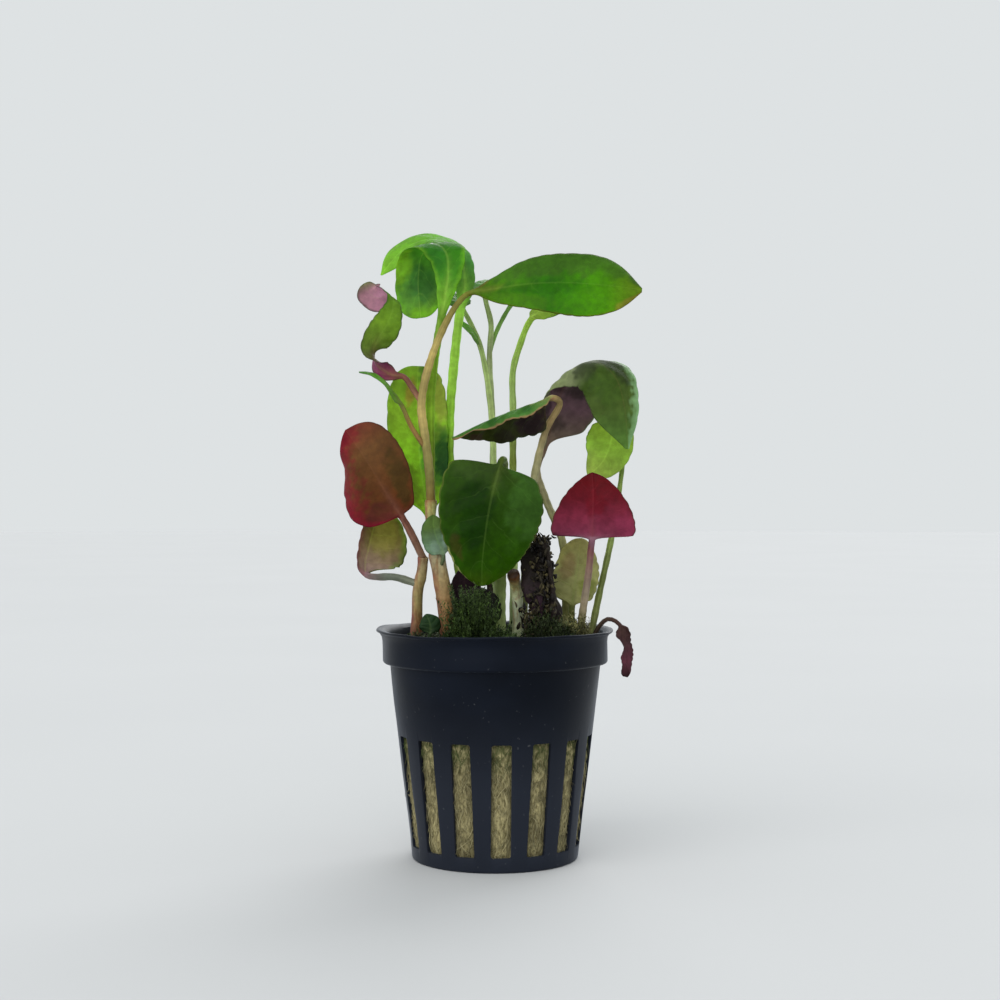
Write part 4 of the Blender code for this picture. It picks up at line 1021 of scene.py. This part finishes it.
leaf("small_branch",
     [(490, 352, 13.0), (493, 341, 13.6), (499, 326, 14.4), (509, 308, 15), (515, 300, 15.6),
      (523, 292, 17), (532, 286, 19), (540, 283, 22)],
     4, (3.4, 0.5, 0.6), None, [(0, -0.2, 1)], GREEN_SKIN, BACK_TONES, None,
     [(-1.0, (140, 170, 96)), (0.0, (110, 156, 70))],
     radii=(0.5, 0.5), teeth=(5, 0.2), pairs=5, seed=59, on=back_centre, **BACK_LEAF)
leaf("leaf_back_right",
     [(513, FOOT, 8), (514, 560, 8.5), (513, 480, 9), (513, 409, 9), (513, 371, 9), (520, 345, 9),
      (530, 321, 9.2), (543, 309, 10), (560, 301, 11.5), (578, 295, 13.5), (596, 291, 16)],
     6, (4.6, 0.5, 0.6), None, [(0, -0.45, 0.9)], BRIGHT_SKIN,
     [(0.0, (150, 172, 70)), (0.5, (130, 176, 50)), (1.0, (110, 160, 50))], None,
     [(-1.0, (166, 178, 140)), (-0.7, (180, 196, 140)), (-0.45, (150, 162, 84)), (-0.25, (160, 178, 118)),
      (0.0, (160, 188, 84))],
     curl=(-0.3, -0.3), radii=(0.9, 0.8, 0.7), teeth=(7, 0.2), pairs=5, across=24, step=0.3, seed=61)

# Small low leaves and withered ones
# Its near-black purple tones are partly its purple underside and partly painted shade under the centre leaf.
leaf("leaf_dark_low",
     [(489, FOOT, -3), (491, 606, -4), (489, 584, -5.2), (482, 571, -6.0), (473, 565, -6.6),
      (467, 570, -7.0), (465, 594, -7.2), (466, 624, -7.0)],
     4, (4.4, 0.9, 0.4), None, [(0.1, 1, 0.3)], WITHERED_SKIN,
     [(0.0, (44, 30, 36)), (1.0, (50, 34, 40))],
     [(0.0, (46, 26, 36)), (0.6, (36, 22, 30)), (1.0, (84, 44, 58))],
     [(-1.0, (70, 60, 44)), (0.0, (60, 40, 44))],
     curl=(0.1, 0.1), radii=(0.7, 0.6), teeth=(6, 0.2), pairs=4, wobble=0.35, across=24, step=0.25, seed=67)
leaf("leaf_olive_low",
     [(571, FOOT, 0.5), (572, 606, 0.8), (574, 590, 1), (577, 570, 1.4), (579, 552, 1.6),
      (581, 538, 1.2)],
     1, (5.2, 0.35, 0.5), None, [(0.1, -1, 0.1)], GREEN_SKIN,
     [(0.0, (160, 160, 106)), (0.5, (170, 170, 112)), (1.0, (150, 144, 90))], None,
     [(-1.0, (90, 96, 50)), (0.0, (104, 110, 60))],
     curl=(-0.3, -0.3), radii=(0.8, 0.7), teeth=(7, 0.3), pairs=5, wobble=0.4, quilt=0.2, across=30,
     patches=[(0.3, 0.5, 0.16, 0.4, (124, 134, 58), 0.7, 0), (0.6, -0.4, 0.2, 0.4, (150, 124, 90), 0.6, 0)],
     step=0.28, seed=69)
# The two low leaves below lie under the others: their dark tones are painted shade.
leaf("leaf_low_centre",
     [(493, FOOT, -9), (490, 630, -10.5), (483, 613, -11.8), (473, 601, -12), (460, 595, -11)],
     1, (4.8, 0.4, 0.6), None, [(0.1, -1, 0.5)], PAINTED_SHADE_SKIN,
     [(0.0, (40, 54, 28)), (0.35, (30, 36, 22)), (0.6, (30, 26, 24)), (1.0, (36, 22, 28))], None,
     [(-1.0, (50, 60, 36)), (0.0, (44, 60, 32))],
     curl=(-0.1, -0.2), radii=(0.6, 0.5), teeth=(8, 0.3), pairs=5, rise=0.35, quilt=0.3,
     wobble=0.4, across=24, step=0.25, seed=71)
leaf("leaf_low_left",
     [(428, FOOT, -12.5), (430, 634, -13), (430, 624, -13), (426, 614, -12.6)],
     1, (2.4, 0.4, 0.6), None, [(0.1, -1, 0.5)], PAINTED_SHADE_SKIN,
     [(0.0, (28, 44, 26)), (1.0, (34, 62, 30))], None, [(-1.0, (50, 60, 36)), (0.0, (40, 56, 30))],
     curl=(-0.3, -0.3), radii=(0.5, 0.4), teeth=(4, 0.15), pairs=4, across=20, step=0.22, seed=73)
leaf("leaf_withered",
     [(549, FOOT, -9), (553, 612, -10), (551, 578, -10.5), (547, 552, -10.6), (543, 544, -10.2),
      (537, 556, -9.8), (534, 580, -10), (537, 604, -10.4), (540, 620, -10.4)],
     3, (1.8, 0.4, 0.5), (3.0, 0.4, 0.5), [(0.1, -1, 0.2)], WITHERED_SKIN,
     [(0.0, (30, 26, 20)), (0.5, (36, 30, 28)), (1.0, (54, 34, 48))], None,
     [(-1.0, (50, 42, 40)), (0.0, (34, 28, 24))],
     fold=(0.3, -0.2), curl=(0.5, -0.6), wave=(0.4, 3.0, 0.5), radii=(0.6, 0.5), ridge=0.2,
     teeth=(9, 0.35), pairs=5, wobble=0.5, across=24, step=0.22, seed=79)
leaf("leaf_withered_rim",
     [(592, FOOT, -4), (598, 628, -4.6), (608, 619, -5), (619, 624, -5.2), (625, 643, -5.2),
      (627, 660, -5), (626, 677, -4.8)],
     3, (1.6, 0.4, 0.5), None, [(0.5, -1, 0.2)], WITHERED_SKIN,
     [(0.0, (70, 48, 44)), (0.35, (62, 40, 42)), (0.7, (84, 42, 54)), (1.0, (54, 32, 36))], None,
     [(-1.0, (60, 54, 40)), (0.0, (70, 50, 44))],
     fold=(0.1, 0.1), curl=(0.2, 0.2), wave=(0.5, 2.5, 0.4), radii=(0.5, 0.45), ridge=0.1,
     teeth=(9, 0.45), pairs=4, wobble=0.5, across=20, step=0.22, seed=83)


# Stems

def stem(name, points, radii, skin, tones, left=None, rough=0.06, knots=(), seed=1):
    """Round stem with joints where leaves sat, and a left side of another tone: painted shade on the tan
    stems, a paler purple on the withered ones.

    radii are its radii from foot to top, knots the place, size and width of each joint."""
    path = [at(p) for p in points]
    length = length_between(path, 0, len(path) - 1)
    places, share = evenly(path, 0, len(path) - 1, max(24, int(length / 0.3)))
    tangents = unit(np.gradient(places, axis=0))
    side = unit(np.cross(tangents[0], (0.0, 1.0, 0.0)))
    rows = []
    turn = FULL_TURN * np.arange(STEM_SIDES) / STEM_SIDES
    for place, tangent, t in zip(places, tangents, share):
        side = unit(side - tangent * np.dot(side, tangent))
        radius = along(radii, t)
        for spot, size, width in knots:
            radius += size * math.exp(-((t - spot) / width) ** 2)
        around = np.cos(turn)[:, None] * side + np.sin(turn)[:, None] * np.cross(tangent, side)
        ring = place + radius * around
        dent = rough * ripple(ring * np.array((1, 1, 0.35)), 1.6, seed)
        rows.append(ring + dent[:, None] * around)
    rows = np.array(rows)
    tone = ramp(tones, np.repeat(share[:, None], STEM_SIDES, axis=1))
    # The left side's tone: painted shade on the tan stems, a paler purple on the withered ones.
    if left:
        plain_radii = np.array([along(radii, t) for t in share])[:, None]
        to_left = (rows.mean(axis=1, keepdims=True) - rows)[..., 0] / plain_radii
        mask = np.clip(to_left * 1.8 - 0.45, 0, 1) * np.clip(0.7 + 0.4 * ripple(rows, 3.0, seed + 1), 0, 1)
        tone = laid_over(tone, left, mask)
    finish_piece(wrap(rows, {}, tone), name, skin, name)


# Its left side tone is painted shade.
stem("stem_front", [(449, FOOT, -9), (446, 612, -9.5), (443, 588, -10), (437, 556, -10.5),
                    (431, 525, -10.5), (431, 500, -10.5)],
     (1.8, 1.75, 1.75, 1.7, 1.05, 1.2), STEM_SKIN,
     [(0.0, (136, 96, 56)), (0.15, (160, 120, 74)), (0.3, (160, 126, 82)), (0.45, (146, 126, 84)),
      (0.62, (160, 152, 118)), (0.75, (156, 152, 104)), (0.85, (168, 170, 104)), (0.96, (160, 158, 96)),
      (1.0, (126, 100, 54))],
     (132, 84, 60), knots=((0.33, 0.08, 0.02), (0.62, 0.14, 0.03), (0.97, 0.12, 0.02)), seed=101)
# Its left side tone is painted shade.
stem("stem_left", [(415, FOOT, -6), (417, 618, -6.5), (418, 590, -7), (422, 570, -7.5),
                   (423, 557, -8)],
     (1.3, 1.15, 1.15, 1.1), STEM_SKIN,
     [(0.0, (110, 68, 50)), (0.2, (128, 92, 62)), (0.5, (136, 124, 74)), (0.8, (148, 134, 90)),
      (1.0, (144, 130, 96))],
     (122, 70, 62), knots=((0.75, 0.1, 0.04), (0.98, 0.1, 0.03)), seed=103)
stem("stem_cut_stub", [(517, FOOT, -3), (518, 612, -4), (516, 588, -6), (513, 573, -9.5)],
     (1.2, 1.2, 1.3), STEM_SKIN,
     [(0.0, (186, 198, 150)), (0.5, (216, 226, 190)), (0.78, (190, 190, 132)), (0.9, (146, 120, 76)),
      (0.97, (112, 80, 50)), (1.0, (70, 46, 28))],
     None, knots=((0.95, 0.12, 0.03),), seed=105)
stem("stem_withered_left", [(541, FOOT, -5), (543, 610, -6), (538, 580, -7), (542, 556, -7),
                            (545, 540, -6.5)],
     (1.5, 1.3, 1.1, 0.7), WITHERED_STEM,
     [(0.0, (46, 36, 40)), (0.4, (36, 30, 28)), (1.0, (40, 42, 30))], (66, 46, 60), rough=0.22, seed=107)
stem("stem_withered_right", [(553, FOOT, 0), (557, 615, -1.5), (552, 595, -2.5), (549, 578, -2)],
     (1.3, 1.1, 0.7), WITHERED_STEM,
     [(0.0, (50, 36, 44)), (0.5, (44, 34, 34)), (1.0, (50, 46, 34))], (66, 46, 60), rough=0.22, seed=109)


# Pot

def turned_skin(profile, sides):
    """Form turned about the upright axis: a ring is drawn out and resized step by step."""
    bpy.ops.object.select_all(action="DESELECT")
    radius, level = profile[0]
    bpy.ops.mesh.primitive_circle_add(vertices=sides, radius=radius * MM, fill_type="NGON",
                                      location=(0, 0, level * MM))
    made = bpy.context.active_object
    bpy.ops.object.transform_apply(location=True, rotation=True, scale=True)
    bpy.ops.object.mode_set(mode="EDIT")
    bpy.ops.mesh.select_all(action="SELECT")
    for (r0, z0), (r1, z1) in zip(profile, profile[1:]):
        bpy.ops.mesh.extrude_region_move(TRANSFORM_OT_translate={"value": (0, 0, (z1 - z0) * MM)})
        bpy.ops.transform.resize(value=(r1 / r0, r1 / r0, 1), center_override=(0, 0, z1 * MM))
    bpy.ops.object.mode_set(mode="OBJECT")
    return made


def arc(centre, radius, low, high, count):
    """Points of radius and height on part of a circle, angles in degrees."""
    return [(centre[0] + radius * math.cos(math.radians(low + (high - low) * k / count)),
             centre[1] + radius * math.sin(math.radians(low + (high - low) * k / count)))
            for k in range(count + 1)]


def pot_outline():
    """Outline of the pot's wall, up its outside, over its lip and down its inside."""
    outline = [(WALL_FOOT_RADIUS - 0.6, 0.0)]
    outline += arc((WALL_FOOT_RADIUS - 0.55, 0.6), 0.6, -80, -8, 4)
    outline += [(WALL_FOOT_RADIUS + (WALL_TOP_RADIUS - WALL_FOOT_RADIUS) * k / 10,
                 0.9 + (COLLAR_FOOT - 1.1) * k / 10) for k in range(1, 10)]
    outline += arc((WALL_TOP_RADIUS + 0.3, COLLAR_FOOT - 0.6), 0.35, 180, 100, 4)
    outline += arc((COLLAR_RADIUS - 0.6, COLLAR_FOOT + 0.4), 0.6, -80, 0, 4)
    outline += [(COLLAR_RADIUS, COLLAR_FOOT + 2.5), (COLLAR_RADIUS, COLLAR_FOOT + 4.6)]
    outline += [(COLLAR_RADIUS + 0.15, COLLAR_FOOT + 5.6), (COLLAR_RADIUS + 0.7, LIP_TOP - 0.75)]
    outline += arc((LIP_RADIUS - 0.3, LIP_TOP - 0.3), 0.3, -60, 90, 5)
    outline += [(COLLAR_INSIDE + 0.9, LIP_TOP - 0.2), (COLLAR_INSIDE + 0.25, LIP_TOP - 0.7)]
    outline += [(COLLAR_INSIDE, LIP_TOP - 1.4), (COLLAR_INSIDE, COLLAR_FOOT + 1.2),
                (COLLAR_INSIDE - 0.3, COLLAR_FOOT + 0.8), (WALL_TOP_RADIUS - WALL_THICK, COLLAR_FOOT - 0.4)]
    outline += [(WALL_FOOT_RADIUS - WALL_THICK, FLOOR_THICK + 0.3),
                (WALL_FOOT_RADIUS - WALL_THICK - 0.4, FLOOR_THICK)]
    return outline


def slot_block(number):
    """Block with rounded edges in the place of one slot."""
    turn = math.radians(SLOT_TURN + SLOT_PITCH * number)
    middle = (SLOT_TOP + SLOT_FOOT) / 2
    bpy.ops.object.select_all(action="DESELECT")
    bpy.ops.mesh.primitive_cube_add(size=1.0, rotation=(0, 0, turn),
                                    location=(SLOT_RADIUS * MM * math.sin(turn),
                                              -SLOT_RADIUS * MM * math.cos(turn), middle * MM),
                                    scale=(SLOT_WIDTH * MM, SLOT_REACH * MM, (SLOT_TOP - SLOT_FOOT) * MM))
    block = bpy.context.active_object
    bpy.ops.object.transform_apply(location=True, rotation=True, scale=True)
    rounding = block.modifiers.new("rounding", "BEVEL")
    rounding.width = 0.45 * MM
    rounding.segments = 3
    bpy.ops.object.modifier_apply(modifier="rounding")
    return block


def cut_slots(pot):
    """Cuts all the slots through the wall."""
    blocks = [slot_block(number) for number in range(SLOTS)]
    slots = joined(blocks, blocks[0])
    face_outwards(pot)
    cut = pot.modifiers.new("slots", "BOOLEAN")
    cut.operation = "DIFFERENCE"
    cut.solver = "EXACT"
    cut.object = slots
    bpy.ops.object.modifier_apply(modifier="slots")
    bpy.data.objects.remove(slots, do_unlink=True)


def soften_edges(pot):
    """Breaks the sharp edges of the lip, collar and slots."""
    soften = pot.modifiers.new("soften", "BEVEL")
    soften.width = 0.14 * MM
    soften.segments = 2
    soften.limit_method = "ANGLE"
    soften.angle_limit = math.radians(40)
    bpy.ops.object.modifier_apply(modifier="soften")


def make_pot():
    """Net pot whose thin lip and wall are a little out of true."""
    pot = turned_skin(pot_outline(), POT_SIDES)
    cut_slots(pot)
    soften_edges(pot)
    form, angle, outward = places_of(pot)
    wavy = 0.6 * np.sin(3 * angle + 0.8) + 0.4 * np.sin(7 * angle + 2.1) + 0.3 * np.sin(13 * angle + 0.3)
    lip = np.clip((form[:, 2] - (LIP_TOP - 2.2)) / 2.2, 0, 1)
    wall = np.clip((form[:, 2] - 2) / 6, 0, 1)
    form += outward * (lip * 0.16 * wavy + wall * 0.10 * ripple(form, 16.0, 5))[:, None]
    form[:, 2] += lip * 0.18 * wavy * np.clip(np.hypot(form[:, 0], form[:, 1]) - 23, 0, 1)
    set_places(pot, form)
    only(pot)
    bpy.ops.object.shade_smooth_by_angle(angle=math.radians(32))
    finish_piece(pot, "net_pot", pot_plastic(), "pot")


make_pot()


# Stone wool

def wall_inside(level):
    """Inside radius of the pot's wall at a level."""
    wall = WALL_FOOT_RADIUS + (WALL_TOP_RADIUS - WALL_FOOT_RADIUS) * (level - 0.8) / (COLLAR_FOOT - 1.0)
    return wall - WALL_THICK


def wool_outline():
    """Outline of the plug, up its side and in over its top."""
    levels = np.linspace(FLOOR_THICK + 0.3, COLLAR_FOOT - 0.8, 40)
    outline = [(wall_inside(z) - 0.32, z) for z in levels]
    outline += [(COLLAR_INSIDE - 0.4, COLLAR_FOOT + 1.6), (COLLAR_INSIDE - 0.4, WOOL_TOP - 1.4)]
    outline += arc((COLLAR_INSIDE - 1.8, WOOL_TOP - 1.7), 1.4, 12, 88, 5)
    outline += [(r, WOOL_TOP - 0.25) for r in (20.5, 18.5, 16.5, 14.5, 12.5, 10.5, 8.5, 6.5, 4.5, 2.5, 1.0)]
    return outline


def make_wool():
    """Plug of stone wool that swells into the slots and is lumpy on top."""
    wool = turned_skin(wool_outline(), WOOL_SIDES)
    form, angle, outward = places_of(wool)
    turns = (np.degrees(angle) - SLOT_TURN) / SLOT_PITCH
    off = abs(turns - np.round(turns)) * math.radians(SLOT_PITCH) * SLOT_RADIUS
    in_slot = np.clip(1 - off / (SLOT_WIDTH / 2 + 0.2), 0, 1) ** 0.5
    in_slot *= np.clip((form[:, 2] - SLOT_FOOT) / 1.5, 0, 1) * np.clip((SLOT_TOP - form[:, 2]) / 1.5, 0, 1)
    lumps = ripple(form, 2.4, 21)
    fluff = ripple(form * np.array((1, 1, 0.45)), 0.9, 22)
    form += outward * (in_slot * (0.55 + 0.28 * lumps + 0.16 * fluff) - (1 - in_slot) * 0.05)[:, None]
    on_top = np.clip((form[:, 2] - (WOOL_TOP - 0.8)) / 0.5, 0, 1)
    form[:, 2] += on_top * (0.45 * ripple(form, 5.0, 23) + 0.3 * lumps + 0.2 * fluff)
    set_places(wool, form)
    face_outwards(wool)
    bpy.ops.object.shade_smooth()
    skin = wool_mat("stone_wool", (168, 158, 116), (100, 92, 62), (58, 72, 34))
    finish_piece(wool, "stone_wool_plug", skin, "growing_medium")


make_wool()


# Strands and tufts

def many(name, corners, faces, tones, skin, slot):
    """One piece of many small strands or leaves."""
    mesh = bpy.data.meshes.new(name)
    mesh.from_pydata((corners * MM).tolist(), [], faces)
    put_tones(mesh, tones)
    mesh.update()
    made = bpy.data.objects.new(name, mesh)
    bpy.context.scene.collection.objects.link(made)
    only(made)
    bpy.ops.object.shade_smooth()
    finish_piece(made, name, skin, None)


def tube_faces(base, rings):
    """Faces of a closed three-sided tube whose corners are numbered ring by ring from base."""
    faces = []
    for low in range(base, base + 3 * (rings - 1), 3):
        for j in range(3):
            m = (j + 1) % 3
            faces.append((low + j, low + m, low + 3 + m, low + 3 + j))
    end = base + 3 * rings
    return faces + [(base + 2, base + 1, base), (end - 3, end - 2, end - 1)]


def strands(starts, ways, lengths, radii, tones, bends, draw):
    """Thin bent strands as three-sided tubes; each array has one row a strand."""
    count = len(starts)
    side = unit(np.cross(ways, draw.normal(size=(count, 3))))
    other = np.cross(ways, side)
    corners = []
    for k in range(STRAND_RINGS):
        u = k / (STRAND_RINGS - 1)
        middle = starts + ways * (lengths * (u - 0.5))[:, None]
        middle = middle + side * (bends[:, 0] * (u - 0.5) ** 2 * lengths)[:, None]
        middle = middle + other * (bends[:, 1] * np.sin(4 * u) * lengths * 0.2)[:, None]
        thin = radii * (1 - 0.75 * abs(2 * u - 1) ** 3)
        for j in range(3):
            turn = FULL_TURN * j / 3
            corners.append(middle + (side * math.cos(turn) + other * math.sin(turn)) * thin[:, None])
    each = 3 * STRAND_RINGS
    faces = []
    for n in range(count):
        faces += tube_faces(n * each, STRAND_RINGS)
    shades = np.repeat(tones[:, None, :], each, axis=1)
    return np.swapaxes(corners, 0, 1).reshape(-1, 3), faces, shades.reshape(-1, 3)


def wool_fibres(draw):
    """Fibres of stone wool that lie in the slots, mossy higher up."""
    slot_no = draw.integers(0, SLOTS, FIBRES)
    z = draw.uniform(SLOT_FOOT + 0.3, SLOT_TOP - 0.3, FIBRES)
    off = draw.uniform(-1, 1, FIBRES) * (SLOT_WIDTH / 2 - 0.15)
    turn = np.radians(SLOT_TURN + SLOT_PITCH * slot_no) + off / SLOT_RADIUS
    out = wall_inside(z) - 0.15 + draw.uniform(-0.1, 0.62, FIBRES) * (1 - 0.4 * abs(off) / (SLOT_WIDTH / 2))
    flat = np.zeros(FIBRES)
    outward = np.stack((np.sin(turn), -np.cos(turn), flat), axis=1)
    round_way = np.stack((np.cos(turn), np.sin(turn), flat), axis=1)
    starts = outward * out[:, None] + np.stack((flat, flat, z), axis=1)
    lean = draw.normal(0, 0.55, FIBRES)
    ways = unit(np.array((0, 0, 1.0)) * np.cos(lean)[:, None] + round_way * np.sin(lean)[:, None]
                + outward * draw.normal(0, 0.06, FIBRES)[:, None])
    room = (SLOT_WIDTH / 2 - abs(off) + 0.1) / np.maximum(abs(np.sin(lean)), 0.08) * 2
    tall = 2 * np.minimum(z - SLOT_FOOT, SLOT_TOP - z) + 0.4
    lengths = np.minimum(np.minimum(draw.uniform(1.6, 6.5, FIBRES), room), tall)
    fibre = tones_between((118, 110, 78), (190, 182, 140), draw.uniform(0, 1, FIBRES)[:, None])
    mossy = np.clip((z - 20) / 5 + draw.normal(0, 0.25, FIBRES), 0, 1)
    return strands(starts, ways, lengths, draw.uniform(0.035, 0.08, FIBRES),
                   laid_over(fibre, (66, 82, 40), mossy * 0.92), draw.normal(0, 0.25, (FIBRES, 2)), draw)


def top_roots(draw):
    """Thin roots that lie on top of the plug."""
    r = ROOT_SPREAD * np.sqrt(draw.uniform(0, 1, ROOTS))
    turn = draw.uniform(0, FULL_TURN, ROOTS)
    level = WOOL_TOP + draw.uniform(-0.2, 0.5, ROOTS)
    starts = np.stack((r * np.sin(turn), -r * np.cos(turn), level), axis=1)
    ways = unit(np.stack((draw.normal(size=ROOTS), draw.normal(size=ROOTS),
                          draw.normal(0, 0.22, ROOTS)), axis=1))
    root = tones_between((58, 44, 26), (132, 112, 66), draw.uniform(0, 1, ROOTS)[:, None])
    return strands(starts, ways, draw.uniform(1.5, 5.0, ROOTS), draw.uniform(0.05, 0.13, ROOTS),
                   root, draw.normal(0, 0.5, (ROOTS, 2)), draw)


def withered_shreds(draw):
    """Short flakes of withered leaves that cling to the dead stems."""
    rise = draw.uniform(0, 1, SHREDS) ** 1.15
    starts = np.stack((SHRED_PLACE[0] + 0.2 * rise + draw.normal(size=SHREDS) * (1.9 - 0.9 * rise),
                       SHRED_PLACE[1] + draw.normal(size=SHREDS) * (1.9 - 0.6 * rise),
                       WOOL_TOP + 1.0 + SHRED_RISE * rise), axis=1)
    ways = unit(np.stack((draw.normal(0, 0.5, SHREDS), draw.normal(0, 0.5, SHREDS),
                          draw.normal(0.3, 0.9, SHREDS)), axis=1))
    flake = tones_between((20, 16, 17), (96, 88, 58), draw.uniform(0, 1, SHREDS)[:, None] ** 2.5)
    return strands(starts, ways, draw.uniform(0.8, 2.2, SHREDS), draw.uniform(0.16, 0.5, SHREDS),
                   flake, draw.normal(0, 0.6, (SHREDS, 2)), draw)


def moss_stalk(foot, top, bend, base):
    """Corners and faces of a thin three-sided stalk."""
    corners = []
    for k in range(4):
        u = k / 3
        for j in range(3):
            turn = FULL_TURN * j / 3
            corners.append(foot + top * u + bend * u * u
                           + np.array((math.cos(turn), math.sin(turn), 0)) * MOSS_STALK * (1 - 0.6 * u))
    return corners, tube_faces(base, 4)


def moss_leaf(spot, turn, slope, size, base):
    """Corners and faces of a small pointed leaf."""
    out = np.array((math.cos(turn), math.sin(turn), slope))
    across = np.array((-math.sin(turn), math.cos(turn), 0)) * size * 0.26
    middle = spot + out * size * 0.5
    tip = spot + out * size * np.array((1, 1, 0.8))
    corners = [spot, middle + across, tip, middle - across, middle + np.array((0, 0, 0.05))]
    return corners, [(base + k, base + (k + 1) % 4, base + 4) for k in range(4)]


def moss(name, clumps, seed):
    """Moss shoots, each a thin stalk with small pointed leaves set round it.

    A clump is its centre, its spread, its number of shoots, its height and its two tones."""
    draw = np.random.default_rng(seed)
    corners = []
    faces = []
    tones = []
    for (cx, cy), (sx, sy), number, height, (dark, light) in clumps:
        for _ in range(number):
            x = cx + draw.normal() * sx
            y = cy + draw.normal() * sy
            if math.hypot(x, y) > MOSS_SPREAD:
                continue
            away = ((x - cx) / sx) ** 2 + ((y - cy) / sy) ** 2
            tall = height * draw.uniform(0.5, 1.15) * math.exp(-0.25 * away)
            top = np.array((draw.normal(0, 0.15), draw.normal(0, 0.15), 1.0)) * tall
            foot = np.array((x, y, WOOL_TOP - draw.uniform(0.0, 0.9)))
            bend = np.array((draw.normal(0, 0.11), draw.normal(0, 0.11), 0)) * tall
            shade = tones_between(dark, light, draw.uniform(0, 1))
            new_corners, new_faces = moss_stalk(foot, top, bend, len(corners))
            corners += new_corners
            faces += new_faces
            tones += [shade * (0.8 + 0.3 * (k // 3) / 3) for k in range(len(new_corners))]
            leaves = max(6, int(tall * 2.4))
            for k in range(leaves):
                u = min((k + draw.uniform(0.1, 1.0)) / leaves, 0.97)
                spot = foot + top * u + bend * u * u
                turn = k * 2.4 + draw.uniform(-0.3, 0.3)
                slope = draw.uniform(0.5, 1.7)
                size = draw.uniform(0.5, 1.2) * (1 - 0.35 * u)
                new_corners, new_faces = moss_leaf(spot, turn, slope, size, len(corners))
                corners += new_corners
                faces += new_faces
                tones += [shade * (0.75 + 0.5 * u)] * len(new_corners)
    skin = tuft_mat(name + "_tuft", 0.6, 0.2)
    many(name, np.array(corners), faces, np.array(tones), skin, "growing_medium")


plug_draw = np.random.default_rng(77)
many("stone_wool_fibres", *wool_fibres(plug_draw), tuft_mat("wool_fibre", 0.75, 0.2), "growing_medium")
many("top_roots", *top_roots(plug_draw), tuft_mat("root_strand", 0.7, 0.1), "growing_medium")
DEEP = ((18, 24, 14), (66, 80, 44))
FRESH = ((30, 44, 24), (76, 98, 46))
OLIVE_MOSS = ((70, 70, 42), (140, 138, 88))
moss("moss_front",
     [((-16.0, -11.0), (1.9, 1.9), 220, 3.6, DEEP), ((-11.0, -13.5), (2.2, 2.0), 300, 3.4, DEEP),
      ((-4.9, -15.0), (2.7, 1.7), 700, 13.5, FRESH), ((1.0, -13.5), (3.0, 2.2), 380, 5.0, FRESH),
      ((10.5, -12.0), (2.4, 2.2), 320, 8.0, DEEP), ((13.5, -13.5), (3.4, 2.2), 280, 6.5, DEEP),
      ((18.0, -11.0), (2.6, 2.6), 220, 7.0, OLIVE_MOSS)], 301)
moss("moss_back",
     [((0.0, 8.0), (6.0, 5.0), 480, 3.0, DEEP), ((-12.0, 4.0), (5.0, 5.0), 360, 2.8, DEEP),
      ((12.0, 6.0), (5.0, 5.0), 400, 3.0, FRESH), ((0.0, 0.0), (6.0, 4.0), 420, 4.6, DEEP),
      ((16.5, -3.0), (3.0, 3.0), 260, 6.5, OLIVE_MOSS), ((6.0, 16.0), (6.0, 3.0), 240, 2.2, DEEP),
      ((-9.0, -5.0), (3.0, 3.0), 260, 4.2, DEEP)], 302)
many("withered_shreds", *withered_shreds(np.random.default_rng(303)), tuft_mat("withered_shred", 0.7, 0.05),
     "stem_withered_left")


# Stage, light and camera

def pale_paper():
    """Plain pale paper for the floor."""
    material, desk, shader, _ = new_skin("pale_paper")
    spots = desk.group(mottle_group, Place=desk.place(), Coarse=6.0)
    colour = desk.mix(desk.between(spots["Broad"], 0.3, 0.7), (0.548, 0.558, 0.566, 1),
                      (0.556, 0.566, 0.574, 1))
    desk.join(colour, shader.inputs["Base Color"])
    shader.inputs["Roughness"].default_value = 0.9
    shader.inputs["Specular IOR Level"].default_value = 0.1
    return material


def soft_light(name, way, spread, strength, colour=(1, 1, 1)):
    """Broad even light that comes from a way, spread over an angle in degrees."""
    lamp = bpy.data.lights.new(name, "SUN")
    lamp.angle = math.radians(spread)
    lamp.energy = strength
    lamp.color = colour
    holder = bpy.data.objects.new(name, lamp)
    bpy.context.scene.collection.objects.link(holder)
    holder.location = way
    holder.rotation_euler = (-Vector(way)).to_track_quat("-Z", "Y").to_euler()


bpy.ops.object.select_all(action="DESELECT")
bpy.ops.mesh.primitive_circle_add(vertices=96, radius=4.0, fill_type="TRIFAN")
floor = bpy.context.active_object
floor.name = "pale_floor"
floor.data.name = "pale_floor"
floor.data.materials.append(pale_paper())

world = bpy.data.worlds.new("soft_room")
world.use_nodes = True
world.node_tree.nodes["Background"].inputs[0].default_value = (0.730, 0.760, 0.770, 1)
world.node_tree.nodes["Background"].inputs[1].default_value = 1.0
bpy.context.scene.world = world
soft_light("front_light", (-0.4, -0.8, 0.6), 70, 1.5, (1.0, 0.985, 0.96))
soft_light("back_light", (0.3, 0.8, 0.6), 50, 1.5)

lens = bpy.data.cameras.new("front_camera")
lens.sensor_width = 36.0
lens.lens = lens.sensor_width * DRAW_STEPS * EYE_AWAY / DRAW_WIDTH
lens.clip_start = 0.01
lens.clip_end = 10.0
camera = bpy.data.objects.new("front_camera", lens)
camera.location = (EYE_X * MM, -EYE_AWAY * MM, EYE_Z * MM)
camera.rotation_euler = (math.radians(90), 0, 0)
bpy.context.scene.collection.objects.link(camera)
bpy.context.scene.camera = camera
bpy.context.scene.view_settings.view_transform = "Standard"

bpy.context.view_layer.update()
